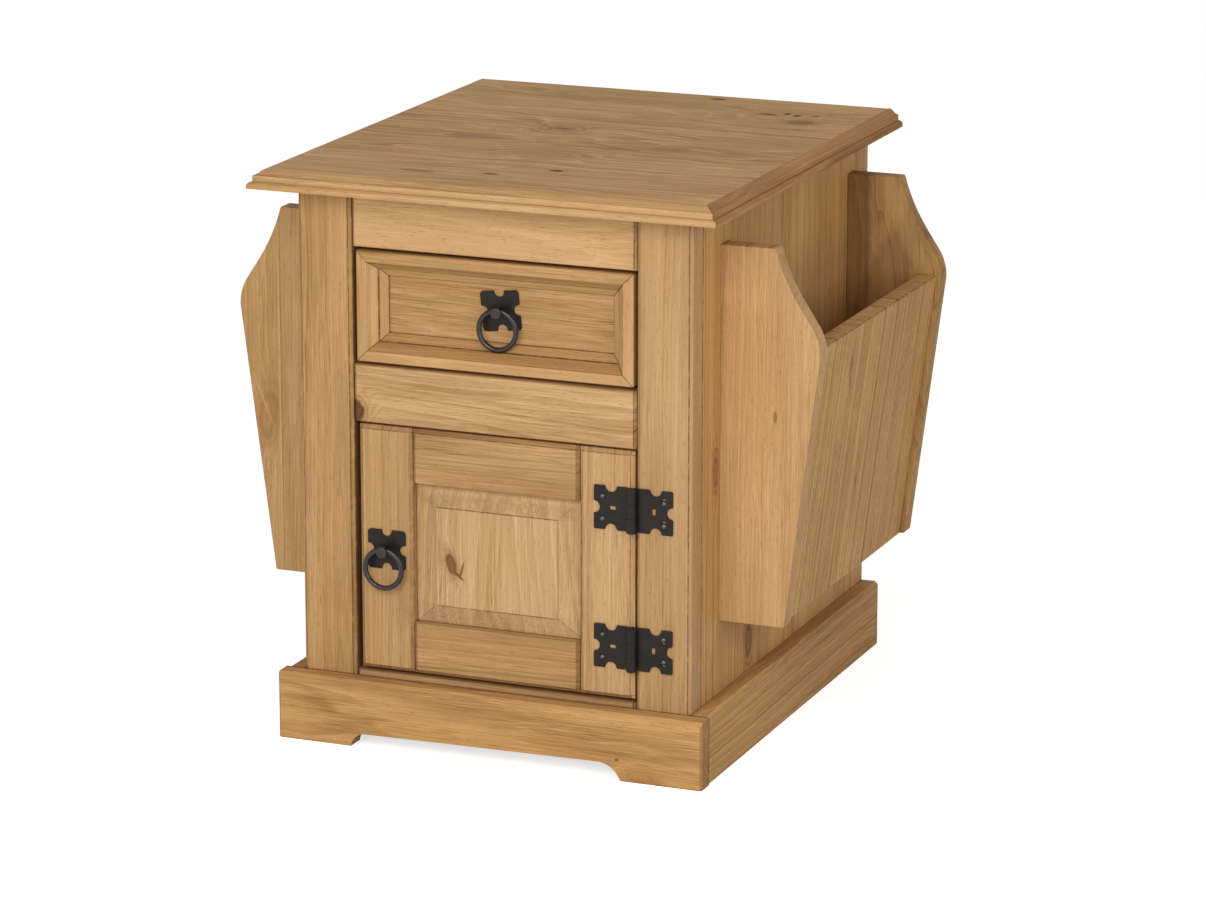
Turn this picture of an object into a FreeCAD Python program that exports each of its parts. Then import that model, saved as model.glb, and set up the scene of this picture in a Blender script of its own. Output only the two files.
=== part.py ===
import FreeCAD, Part
import math
import os

Vector = FreeCAD.Vector

# Cabinet, without its top and racks
carcass_width = 365.0
carcass_depth = 448.0
overall_height = 511.5

# Table top and the moulding round three of its edges
top_thickness = 16.0
top_overhang_front = 32.0
top_overhang_side = 33.0
top_back_ease = 1.5
moulding_width = 13.5
moulding_cove_width = 9.3
moulding_cove_drop = 4.9
moulding_fillet_drop = 5.3
moulding_nose_drop = 3.0
cove_crown_shares = (0.28, 0.13)
cove_waist_shares = (0.5, 0.5)
cove_hollow_shares = (0.72, 0.87)
nose_crown_shares = (0.72, 0.3)

# Posts, rails and the openings between them
post_width = 50.2
front_post_depth = 25.0
back_post_depth = 32.0
post_floor_gap = 12.5
post_chamfer = 2.7
joint_chamfer = 3.0
board_ease = 1.0
rail_recess = 1.0
top_rail_height = 50.0
drawer_opening_height = 104.5
middle_rail_height = 50.5
bottom_rail_height = 46.0
bottom_rail_show = 4.6
tenon_length = 12.0
tenon_thickness = 8.0
tenon_shoulder = 7.0
joint_gap = 0.1

# Side panels, back panel and cabinet floor
side_thickness = 18.0
tongue_length = 8.0
tongue_thickness = 6.0
back_panel_thickness = 6.0
back_panel_inset = 5.0
back_groove_depth = 7.0
base_thickness = 15.0
cleat_size = 20.0

# Plinth
plinth_height = 60.5
plinth_thickness = 18.5
plinth_reach = 17.5
plinth_side_thickness = 16.2
plinth_chamfer = 3.2
plinth_end_chamfer = 1.8
plinth_left_foot_length = 70.0
plinth_left_cut_height = 12.2
plinth_left_curve_length = 11.0
plinth_right_foot_length = 75.0
plinth_right_cut_height = 15.0
plinth_right_curve_length = 19.7
plinth_hollow_shares = (0.37, 0.68)

# Magazine racks
rack_setback = 67.0
rack_back_setback = 38.0
rack_board = 18.0
rack_rise = 66.0
rack_top_gap = 36.0
rack_bottom_reach = 59.5
rack_shoulder_reach = 90.3
rack_shoulder_drop = 91.3
rack_shoulder_rise = 13.6
rack_shoulder_radius = 45.0
rack_neck_reach = 57.5
rack_neck_drop = 28.0
rack_neck_radius = 170.0
rack_top_reach = 49.0
rack_corner_radius = 1.5
rack_edge_ease = 0.9
rack_panel_inset = 4.5
rack_panel_thickness = 18.0
rack_panel_drop = 87.0
rack_panel_ease = 3.0
rack_floor_rise = 3.0
rack_floor_thickness = 12.0

# Door
door_thickness = 19.0
door_top_gap = 2.2
door_bottom_gap = 3.1
door_hinge_gap = 2.2
door_pull_gap = 5.2
door_stile_width = 50.3
door_rail_top_height = 47.6
door_rail_bottom_height = 45.6
door_edge_chamfer = 3.3
door_groove_depth = 8.0
door_groove_setback = 9.0
door_groove_width = 6.0
door_field_recess = 2.0
door_bevel_width = 21.0
door_bevel_top_width = 20.6
door_bevel_bottom_width = 18.0
door_field_step = 1.2

# Butterfly hinges of the door
hinge_axis_inset = 0.1
hinge_height_shares = (0.21, 0.77)
hinge_leaf_reach = 36.0
hinge_leaf_height = 38.5
hinge_leaf_thickness = 1.5
hinge_corner_radius = 0.8
hinge_barrel_radius = 4.6
hinge_pin_radius = 2.0
hinge_pin_clearance = 0.05
hinge_knuckle_gap = 0.3
hinge_knuckles = 3
hinge_notch_radius = 5.5
hinge_screw_inset = 7.9
hinge_screw_spread = 20.0
hinge_screw_shift = 1.25
hinge_hole_radius = 2.1
hinge_slot_inset = 17.2
hinge_slot_length = 6.4
hinge_slot_width = 3.6
hinge_slot_round = 1.2
pin_head_radius = 3.3
pin_head_tip_radius = 2.6
pin_head_height = 0.8

# Drawer
drawer_gap = 3.2
drawer_side_gap = 3.8
drawer_recess = 1.5
drawer_frame_width = 23.6
drawer_frame_depth = 26.0
drawer_flat_width = 9.5
drawer_panel_depth = 18.0
drawer_rebate_width = 6.0
drawer_lip = 2.0
drawer_quirk_width = 0.6
drawer_quirk_depth = 1.6
drawer_slope_width = 7.0
drawer_slope_depth = 9.6
drawer_side_thickness = 12.0
drawer_side_inset = 1.5
drawer_side_drop = 20.1
drawer_back_gap = 19.5
drawer_bottom_thickness = 4.0
drawer_bottom_rise = 8.0
drawer_bottom_groove = 5.0
runner_width = 52.0
runner_height = 22.0
runner_guide_height = 18.0
runner_clearance = 0.3
runner_front_gap = 1.5
guide_clearance = 0.8
kicker_height = 20.0
kicker_clearance = 1.0

# Ring pulls
plate_width = 35.5
plate_height = 35.0
plate_thickness = 1.5
plate_corner_radius = 3.0
plate_notch_radius = 4.8
plate_notch_centre_inset = 0.8
ring_outer_diameter = 39.0
ring_wire_diameter = 4.6
ring_standoff = 7.4
ring_rise = 1.5
ring_play = 0.65
eye_reach = 12.1
eye_button_radius = 5.0
eye_button_thickness = 1.3
eye_button_round = 1.0
eye_neck_radius = 2.9
eye_lug_width = 6.6
eye_lug_wall = 0.9
stud_radius = 2.0
stud_clearance = 0.2
nut_radius = 4.6
nut_thickness = 3.0
nut_clearance = 0.05
door_pull_inset = 26.1
drawer_pull_rise = 3.0
drawer_plate_turn = -6.0

# Magnetic catch
catch_width = 40.0
catch_depth = 13.0
catch_height = 13.0
catch_ease = 1.0
catch_gap = 0.2
catch_side_inset = 20.0
strike_thickness = 1.0
strike_height = 11.0
strike_margin = 1.0

# Screws
screw_head_radius = 2.6
screw_head_height = 1.9
screw_slot_width = 0.6
screw_slot_depth = 0.4
screw_shank_radius = 1.5
screw_clearance = 0.1
hinge_screw_length = 14.0
screw_bite = 18.0
top_screw_bite = 10.0
rack_screw_shares = (0.18, 0.81)
top_screw_shares = (0.2, 0.8)

# Working values: how far a cut passes its piece, how near counts as on a plane, counts and turns
overrun = 5.0
plane_tolerance = 0.01
corner_fill_share = 0.98
nut_sides = 6
slot_turn = 30.0
half_turn = 180.0
right_angle = 90.0

# Places worked out from the sizes above
half_width = carcass_width / 2
front_y = (top_overhang_front - carcass_depth) / 2
back_y = front_y + carcass_depth
post_back_y = front_y + front_post_depth
back_post_front_y = back_y - back_post_depth
top_under_z = overall_height - top_thickness
opening_half = half_width - post_width
side_inner_x = half_width - side_thickness
top_rail_z = top_under_z - top_rail_height
middle_rail_top_z = top_rail_z - drawer_opening_height
middle_rail_z = middle_rail_top_z - middle_rail_height
base_top_z = plinth_height + bottom_rail_show
bottom_rail_z = base_top_z - bottom_rail_height
back_panel_y = back_y - back_panel_inset - back_panel_thickness
rack_z = plinth_height + rack_rise
rack_height = top_under_z - rack_top_gap - rack_z
rack_shoulder_height = rack_height - rack_shoulder_drop
rack_neck_height = rack_height - rack_neck_drop
rack_panel_height = rack_height - rack_panel_drop
rack_front_y = front_y + rack_setback
rack_back_y = back_y - rack_back_setback
drawer_half = opening_half - drawer_side_gap
drawer_face_y = front_y + drawer_recess
drawer_bottom_z = middle_rail_top_z + drawer_gap
drawer_top_z = top_rail_z - drawer_gap
drawer_back_of_front_y = drawer_face_y + drawer_frame_depth
drawer_side_x = drawer_half - drawer_side_inset
drawer_side_top_z = drawer_top_z - drawer_side_drop
drawer_end_y = back_panel_y - drawer_back_gap
runner_front_y = max(post_back_y, drawer_back_of_front_y + runner_front_gap)
door_left_x = door_pull_gap - opening_half
door_right_x = opening_half - door_hinge_gap
door_z = base_top_z + door_bottom_gap
door_top_z = middle_rail_z - door_top_gap
door_back_y = front_y + door_thickness
hinge_x = door_right_x - hinge_axis_inset
hinge_y = front_y - hinge_barrel_radius
hinge_heights = [door_z + (door_top_z - door_z) * share for share in hinge_height_shares]
ring_radius = (ring_outer_diameter - ring_wire_diameter) / 2
wire_radius = ring_wire_diameter / 2

pieces = {}


def block(x0, x1, y0, y1, z0, z1):
    """Box between two corners."""
    return Part.makeBox(x1 - x0, y1 - y0, z1 - z0, Vector(x0, y0, z0))


def mirrored(shape):
    """Copy of a piece on the other side of the cabinet."""
    return shape.mirror(Vector(0, 0, 0), Vector(1, 0, 0))


def edges_on(shape, **planes):
    """Edges that lie wholly on each of the named coordinate planes."""
    found = []
    for edge in shape.Edges:
        box = edge.BoundBox
        reach = {"x": (box.XMin, box.XMax), "y": (box.YMin, box.YMax), "z": (box.ZMin, box.ZMax)}
        on_all = True
        for axis, place in planes.items():
            for limit in reach[axis]:
                on_all = on_all and abs(limit - place) < plane_tolerance
        if on_all:
            found.append(edge)
    return found


def polygon_prism(points, along):
    """Prism of a closed polygon."""
    return Part.Face(Part.makePolygon(points + points[:1])).extrude(along)


def outline_prism(edges, along):
    """Prism of a closed outline of lines and arcs, given in order."""
    return Part.Face(Part.Wire([edge.toShape() for edge in edges])).extrude(along)


def rounded_outline(corners, place):
    """Lines and arcs through (u, v, radius) corners, each corner rounded as far as its sides leave room."""
    count = len(corners)
    points = [Vector(u, v, 0) for u, v, radius in corners]
    legs = [points[(i + 1) % count] - points[i] for i in range(count)]
    tangents = []
    for i in range(count):
        turn = legs[i - 1].getAngle(legs[i])
        tangents.append(corners[i][2] * math.tan(turn / 2))
    limits = list(tangents)
    for i in range(count):
        after = (i + 1) % count
        wanted = tangents[i] + tangents[after]
        if wanted > legs[i].Length * corner_fill_share:
            share = legs[i].Length * corner_fill_share / wanted
            limits[i] = min(limits[i], tangents[i] * share)
            limits[after] = min(limits[after], tangents[after] * share)
    edges = []
    for i in range(count):
        into = Vector(legs[i - 1]).normalize()
        away = Vector(legs[i]).normalize()
        start = points[i] - into * limits[i]
        end = points[i] + away * limits[i]
        if limits[i] > 0:
            half_angle = into.getAngle(away) / 2
            radius = limits[i] / math.tan(half_angle)
            inward = Vector(away - into).normalize()
            middle = points[i] + inward * radius * (1 / math.cos(half_angle) - 1)
            edges.append(Part.Arc(place(start), place(middle), place(end)))
        next_into = points[(i + 1) % count] - away * limits[(i + 1) % count]
        edges.append(Part.LineSegment(place(end), place(next_into)))
    return edges


def share_point(start, end, shares):
    """Point at shares of the way from start to end, across first and along second."""
    across = start.x + (end.x - start.x) * shares[0]
    along = start.y + (end.y - start.y) * shares[1]
    return Vector(across, along, 0)


def screw(seat, direction, length):
    """Dome-headed slotted screw whose head stands on the seat point and whose shank runs along direction."""
    dome_radius = (screw_head_radius ** 2 + screw_head_height ** 2) / (2 * screw_head_height)
    dome = Part.makeSphere(dome_radius, Vector(0, 0, screw_head_height - dome_radius))
    head = dome.common(block(-overrun, overrun, -overrun, overrun, 0, overrun))
    slot = block(-screw_head_radius, screw_head_radius, -screw_slot_width / 2, screw_slot_width / 2,
                 screw_head_height - screw_slot_depth, screw_head_height)
    slot.rotate(Vector(0, 0, 0), Vector(0, 0, 1), slot_turn)
    shank = Part.makeCylinder(screw_shank_radius, length, Vector(0, 0, 0), Vector(0, 0, -1))
    whole = head.cut(slot).fuse(shank)
    whole.Placement = FreeCAD.Placement(seat, FreeCAD.Rotation(Vector(0, 0, -1), direction))
    return whole


def screw_hole(seat, direction, length):
    """Hole that clears a screw's shank."""
    reach = Vector(direction).normalize()
    start = seat - reach * overrun
    depth = length + overrun + screw_clearance
    return Part.makeCylinder(screw_shank_radius + screw_clearance, depth, start, reach)


def top_moulding_outline(place):
    """Edge moulding: an ogee, a flat band and a round nose, from the panel's edge outwards."""
    top = Vector(0, top_thickness, 0)
    cove_end = Vector(moulding_cove_width, top_thickness - moulding_cove_drop, 0)
    crown = share_point(top, cove_end, cove_crown_shares)
    waist = share_point(top, cove_end, cove_waist_shares)
    hollow = share_point(top, cove_end, cove_hollow_shares)
    band_end = Vector(moulding_cove_width, cove_end.y - moulding_fillet_drop, 0)
    nose_end = Vector(moulding_width, band_end.y - moulding_nose_drop, 0)
    nose = share_point(band_end, nose_end, nose_crown_shares)
    foot = Vector(moulding_width, 0, 0)
    root = Vector(0, 0, 0)
    return [
        Part.Arc(place(top), place(crown), place(waist)),
        Part.Arc(place(waist), place(hollow), place(cove_end)),
        Part.LineSegment(place(cove_end), place(band_end)),
        Part.Arc(place(band_end), place(nose), place(nose_end)),
        Part.LineSegment(place(nose_end), place(foot)),
        Part.LineSegment(place(foot), place(root)),
        Part.LineSegment(place(root), place(top)),
    ]


def build_top():
    """Top panel, its mitred edge mouldings and the holes for the screws that hold it."""
    panel_half = half_width + top_overhang_side - moulding_width
    panel_front_y = front_y - top_overhang_front + moulding_width
    panel = block(-panel_half, panel_half, panel_front_y, back_y, top_under_z, overall_height)
    panel = panel.makeFillet(top_back_ease, edges_on(panel, y=back_y, z=overall_height))
    for seat, length in top_screw_seats():
        panel = panel.cut(screw_hole(seat, Vector(0, 0, 1), length))
    pieces["top_panel"] = panel

    outer_half = panel_half + moulding_width
    outer_y = panel_front_y - moulding_width
    front_edges = top_moulding_outline(lambda p: Vector(-outer_half, panel_front_y - p.x, top_under_z + p.y))
    front = outline_prism(front_edges, Vector(2 * outer_half, 0, 0))
    front_plan = [
        Vector(-outer_half, outer_y, top_under_z),
        Vector(outer_half, outer_y, top_under_z),
        Vector(panel_half, panel_front_y, top_under_z),
        Vector(-panel_half, panel_front_y, top_under_z),
    ]
    pieces["top_moulding_front"] = front.common(polygon_prism(front_plan, Vector(0, 0, top_thickness)))

    side_edges = top_moulding_outline(lambda p: Vector(panel_half + p.x, outer_y, top_under_z + p.y))
    side = outline_prism(side_edges, Vector(0, back_y - outer_y, 0))
    side_plan = [
        Vector(outer_half, outer_y, top_under_z),
        Vector(outer_half, back_y, top_under_z),
        Vector(panel_half, back_y, top_under_z),
        Vector(panel_half, panel_front_y, top_under_z),
    ]
    side = side.common(polygon_prism(side_plan, Vector(0, 0, top_thickness)))
    pieces["top_moulding_right"] = side
    pieces["top_moulding_left"] = mirrored(side)


def rail_spans():
    """Lower and upper height of each front rail."""
    return {
        "top_rail": (top_rail_z, top_under_z),
        "middle_rail": (middle_rail_z, middle_rail_top_z),
        "bottom_rail": (bottom_rail_z, base_top_z),
    }


def tenon(z0, z1, gap):
    """Stub tenon of a rail in the right-hand post, or its mortise when given a gap."""
    middle_y = (front_y + rail_recess + post_back_y) / 2
    return block(opening_half, opening_half + tenon_length + gap,
                 middle_y - tenon_thickness / 2 - gap, middle_y + tenon_thickness / 2 + gap,
                 z0 + tenon_shoulder - gap, z1 - tenon_shoulder + gap)


def side_tongue(y0, y1, gap):
    """Tongue on the right side panel's upright edge, or its groove when given a gap."""
    middle_x = half_width - side_thickness / 2
    return block(middle_x - tongue_thickness / 2 - gap, middle_x + tongue_thickness / 2 + gap,
                 y0 - gap, y1 + gap, post_floor_gap - gap, top_under_z + gap)


def build_front_frame():
    """Front posts and the three rails tenoned between them."""
    post = block(opening_half, half_width, front_y, post_back_y, post_floor_gap, top_under_z)
    post = post.makeChamfer(post_chamfer, edges_on(post, x=half_width, y=front_y))
    post = post.makeChamfer(joint_chamfer, edges_on(post, x=opening_half, y=front_y))
    post = post.makeChamfer(board_ease, edges_on(post, x=half_width, y=post_back_y))
    post = post.cut(side_tongue(post_back_y - tongue_length, post_back_y, joint_gap))
    for z0, z1 in rail_spans().values():
        post = post.cut(tenon(z0, z1, joint_gap))
    pieces["front_post_left"] = mirrored(post)
    for height in hinge_heights:
        for seat in hinge_screw_seats(height, 1):
            post = post.cut(screw_hole(seat, Vector(0, 1, 0), hinge_screw_length))
    pieces["front_post_right"] = post

    rail_y = front_y + rail_recess
    for name, (z0, z1) in rail_spans().items():
        rail = block(-opening_half, opening_half, rail_y, post_back_y, z0, z1)
        ends = edges_on(rail, x=-opening_half, y=rail_y) + edges_on(rail, x=opening_half, y=rail_y)
        rail = rail.makeChamfer(joint_chamfer, ends)
        long_edges = edges_on(rail, y=rail_y, z=z0) + edges_on(rail, y=rail_y, z=z1)
        rail = rail.makeChamfer(board_ease, long_edges)
        right = tenon(z0, z1, 0)
        pieces[name] = rail.fuse(right).fuse(mirrored(right)).removeSplitter()


def build_sides_and_back():
    """Side panels, back posts and back panel, with the grooves that hold them."""
    side = block(side_inner_x, half_width, post_back_y, back_post_front_y, post_floor_gap, top_under_z)
    joints = edges_on(side, x=half_width, y=post_back_y) + edges_on(side, x=half_width, y=back_post_front_y)
    side = side.makeChamfer(board_ease, joints)
    side = side.fuse(side_tongue(post_back_y - tongue_length + joint_gap, post_back_y, 0))
    side = side.fuse(side_tongue(back_post_front_y, back_post_front_y + tongue_length - joint_gap, 0))
    for seat in rack_screw_seats():
        side = side.cut(screw_hole(seat, Vector(1, 0, 0), side_thickness + screw_bite))
    pieces["side_panel_right"] = side
    pieces["side_panel_left"] = mirrored(side)

    post = block(side_inner_x, half_width, back_post_front_y, back_y, post_floor_gap, top_under_z)
    post = post.makeFillet(board_ease, edges_on(post, x=half_width, y=back_y))
    post = post.makeChamfer(board_ease, edges_on(post, x=half_width, y=back_post_front_y))
    post = post.cut(side_tongue(back_post_front_y, back_post_front_y + tongue_length, joint_gap))
    groove = block(side_inner_x - overrun, side_inner_x + back_groove_depth, back_panel_y - joint_gap,
                   back_panel_y + back_panel_thickness + joint_gap, 0, top_under_z)
    post = post.cut(groove)
    pieces["back_post_right"] = post
    pieces["back_post_left"] = mirrored(post)

    back_half = side_inner_x + back_groove_depth - joint_gap
    pieces["back_panel"] = block(-back_half, back_half, back_panel_y, back_panel_y + back_panel_thickness,
                                 post_floor_gap, top_under_z)


def build_inside():
    """Cabinet floor, cleats, drawer runners with their guides, and kickers."""
    pieces["base_panel"] = block(-side_inner_x, side_inner_x, post_back_y, back_panel_y,
                                 base_top_z - base_thickness, base_top_z)
    cleat_tops = (base_top_z - base_thickness, top_under_z)
    cleats = []
    for cleat_top in cleat_tops:
        cleat = block(side_inner_x - cleat_size, side_inner_x, post_back_y, back_post_front_y,
                      cleat_top - cleat_size, cleat_top)
        if cleat_top == top_under_z:
            for seat, length in top_screw_seats():
                cleat = cleat.cut(screw_hole(seat, Vector(0, 0, 1), length))
        cleats.append(cleat)
    pieces["cleats"] = Part.makeCompound(cleats + [mirrored(cleat) for cleat in cleats])

    runner_top = drawer_bottom_z - runner_clearance
    runner = block(side_inner_x - runner_width, side_inner_x, runner_front_y, back_panel_y,
                   runner_top - runner_height, runner_top)
    guide = block(drawer_side_x + guide_clearance, side_inner_x, runner_front_y, back_panel_y,
                  runner_top, runner_top + runner_guide_height)
    pieces["drawer_runners"] = Part.makeCompound([runner, mirrored(runner)])
    pieces["drawer_guides"] = Part.makeCompound([guide, mirrored(guide)])

    kicker_z = drawer_side_top_z + kicker_clearance
    kicker = block(side_inner_x - runner_width, side_inner_x, runner_front_y, back_panel_y,
                   kicker_z, kicker_z + kicker_height)
    pieces["drawer_kickers"] = Part.makeCompound([kicker, mirrored(kicker)])


def build_plinth():
    """Plinth boards: the front one is cut away between two shaped feet."""
    plinth_half = half_width + plinth_reach
    plinth_front_y = front_y - plinth_thickness
    left_foot = Vector(plinth_left_foot_length - plinth_half, 0, 0)
    left_cut = left_foot + Vector(plinth_left_curve_length, plinth_left_cut_height, 0)
    left_hollow = share_point(left_foot, left_cut, plinth_hollow_shares)
    right_foot = Vector(plinth_half - plinth_right_foot_length, 0, 0)
    right_cut = right_foot + Vector(-plinth_right_curve_length, plinth_right_cut_height, 0)
    right_hollow = share_point(right_foot, right_cut, plinth_hollow_shares)

    def place(p):
        return Vector(p.x, plinth_front_y, p.y)

    right_end = [place(Vector(plinth_half, 0, 0)), place(Vector(plinth_half, plinth_height, 0))]
    left_end = [place(Vector(-plinth_half, 0, 0)), place(Vector(-plinth_half, plinth_height, 0))]
    outline = [
        Part.LineSegment(right_end[0], right_end[1]),
        Part.LineSegment(right_end[1], left_end[1]),
        Part.LineSegment(left_end[1], left_end[0]),
        Part.LineSegment(left_end[0], place(left_foot)),
        Part.Arc(place(left_foot), place(left_hollow), place(left_cut)),
        Part.LineSegment(place(left_cut), place(right_cut)),
        Part.Arc(place(right_cut), place(right_hollow), place(right_foot)),
        Part.LineSegment(place(right_foot), right_end[0]),
    ]
    board = outline_prism(outline, Vector(0, plinth_thickness, 0))
    board = board.makeChamfer(plinth_chamfer, edges_on(board, y=plinth_front_y, z=plinth_height))
    for x in (-plinth_half, plinth_half):
        board = board.makeChamfer(plinth_end_chamfer, edges_on(board, x=x, y=plinth_front_y))
    pieces["plinth_front"] = board

    side_x = half_width + plinth_side_thickness
    side = block(half_width, side_x, front_y, back_y, 0, plinth_height)
    side = side.makeChamfer(plinth_chamfer, edges_on(side, x=side_x, z=plinth_height))
    side = side.makeChamfer(board_ease, edges_on(side, x=side_x, y=front_y))
    side = side.makeFillet(board_ease, edges_on(side, x=side_x, y=back_y))
    pieces["plinth_right"] = side
    pieces["plinth_left"] = mirrored(side)


def rack_reach_at(height):
    """How far the straight outer edge of a rack end stands out at a height above the rack's bottom."""
    slope = (rack_shoulder_reach - rack_bottom_reach) / rack_shoulder_height
    return rack_bottom_reach + slope * height


def rack_end(y):
    """Shaped end board of the right-hand rack, with its front face at y."""
    corners = [
        (0, 0, 0),
        (rack_bottom_reach, 0, rack_corner_radius),
        (rack_shoulder_reach, rack_shoulder_height, 0),
        (rack_shoulder_reach, rack_shoulder_height + rack_shoulder_rise, rack_shoulder_radius),
        (rack_neck_reach, rack_neck_height, rack_neck_radius),
        (rack_top_reach, rack_height, rack_corner_radius),
        (0, rack_height, 0),
    ]
    edges = rounded_outline(corners, lambda p: Vector(half_width + p.x, y, rack_z + p.y))
    board = outline_prism(edges, Vector(0, rack_board, 0))
    against_side = edges_on(board, x=half_width)
    eased = []
    for face_y in (y, y + rack_board):
        for edge in edges_on(board, y=face_y):
            if not any(edge.isSame(other) for other in against_side):
                eased.append(edge)
    board = board.makeFillet(rack_edge_ease, eased)
    for seat in rack_screw_seats():
        board = board.cut(screw_hole(seat, Vector(1, 0, 0), side_thickness + screw_bite))
    return board


def rack_slope_prism(bottom, top, outer_inset, inner_inset, y0, y1):
    """Prism between two heights and two lines that run inside the sloping edge of the rack ends."""
    corners = []
    places = ((bottom, inner_inset), (bottom, outer_inset), (top, outer_inset), (top, inner_inset))
    for height, inset in places:
        reach = 0 if inset is None else rack_reach_at(height) - inset
        corners.append(Vector(half_width + reach, y0, rack_z + height))
    return polygon_prism(corners, Vector(0, y1 - y0, 0))


def build_racks():
    """Both racks: two end boards, a sloping outer board and a floor each."""
    inner_front_y = rack_front_y + rack_board
    inner_back_y = rack_back_y - rack_board
    panel_inner = rack_panel_inset + rack_panel_thickness
    panel = rack_slope_prism(0, rack_panel_height, rack_panel_inset, panel_inner, inner_front_y, inner_back_y)
    panel_top = rack_z + rack_panel_height
    long_top_edges = [edge for edge in edges_on(panel, z=panel_top) if edge.BoundBox.YLength > overrun]
    panel = panel.makeFillet(rack_panel_ease, long_top_edges)
    floor = rack_slope_prism(rack_floor_rise, rack_floor_rise + rack_floor_thickness, panel_inner, None,
                             inner_front_y, inner_back_y)
    right_pieces = {
        "front_end": rack_end(rack_front_y),
        "back_end": rack_end(inner_back_y),
        "outer_panel": panel,
        "floor": floor,
    }
    for name, shape in right_pieces.items():
        pieces["rack_right_" + name] = shape
        pieces["rack_left_" + name] = mirrored(shape)


def rack_screw_seats():
    """Where the screws that hold the right-hand rack stand on the inside of the side panel."""
    seats = []
    for end_y in (rack_front_y, rack_back_y - rack_board):
        for share in rack_screw_shares:
            seats.append(Vector(side_inner_x, end_y + rack_board / 2, rack_z + rack_height * share))
    return seats


def top_screw_seats():
    """Where the screws stand under the top cleats, with their length."""
    seats = []
    for share in top_screw_shares:
        y = post_back_y + (back_post_front_y - post_back_y) * share
        seat = Vector(side_inner_x - cleat_size / 2, y, top_under_z - cleat_size)
        seats.append((seat, cleat_size + top_screw_bite))
        seats.append((Vector(-seat.x, seat.y, seat.z), cleat_size + top_screw_bite))
    return seats


def build_carcass_screws():
    """Screws that hold the racks to the sides and the top to its cleats."""
    screws = []
    for seat in rack_screw_seats():
        driven = screw(seat, Vector(1, 0, 0), side_thickness + screw_bite)
        screws += [driven, mirrored(driven)]
    for seat, length in top_screw_seats():
        screws.append(screw(seat, Vector(0, 0, 1), length))
    pieces["carcass_screws"] = Part.makeCompound(screws)


def hinge_hole_shift(height, side):
    """How far the long holes of a post leaf reach past their middle, away from the middle of the door."""
    if side < 0:
        return 0
    return math.copysign(hinge_screw_shift, height - (door_z + door_top_z) / 2)


def hinge_screw_seats(height, side):
    """Screw seats on a leaf's face: side 1 is the post leaf, side -1 the door leaf."""
    x = hinge_x + side * (hinge_leaf_reach - hinge_screw_inset)
    y = front_y - hinge_leaf_thickness
    middle = height - hinge_hole_shift(height, side)
    return [Vector(x, y, middle + hinge_screw_spread / 2), Vector(x, y, middle - hinge_screw_spread / 2)]


def hinge_screw_hole(seat, shift):
    """Hole in a leaf: round, or long when the screw stands at one end of it."""
    hole = screw_hole(seat, Vector(0, 1, 0), hinge_leaf_thickness)
    if shift:
        far = seat + Vector(0, 0, 2 * shift)
        for end in (seat, far):
            hole = hole.fuse(Part.makeCylinder(hinge_hole_radius, hinge_leaf_thickness, end, Vector(0, 1, 0)))
        hole = hole.fuse(block(seat.x - hinge_hole_radius, seat.x + hinge_hole_radius, seat.y,
                               seat.y + hinge_leaf_thickness, min(seat.z, far.z), max(seat.z, far.z)))
    return hole


def hinge_knuckle(z0, z1, side):
    """Barrel stretch of a leaf with the tab that joins it to the plate."""
    knuckle = Part.makeCylinder(hinge_barrel_radius, z1 - z0, Vector(hinge_x, hinge_y, z0), Vector(0, 0, 1))
    tab_end = hinge_x + side * (hinge_barrel_radius + hinge_knuckle_gap)
    tab = block(min(hinge_x, tab_end), max(hinge_x, tab_end), front_y - hinge_leaf_thickness, front_y, z0, z1)
    return knuckle.fuse(tab)


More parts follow.
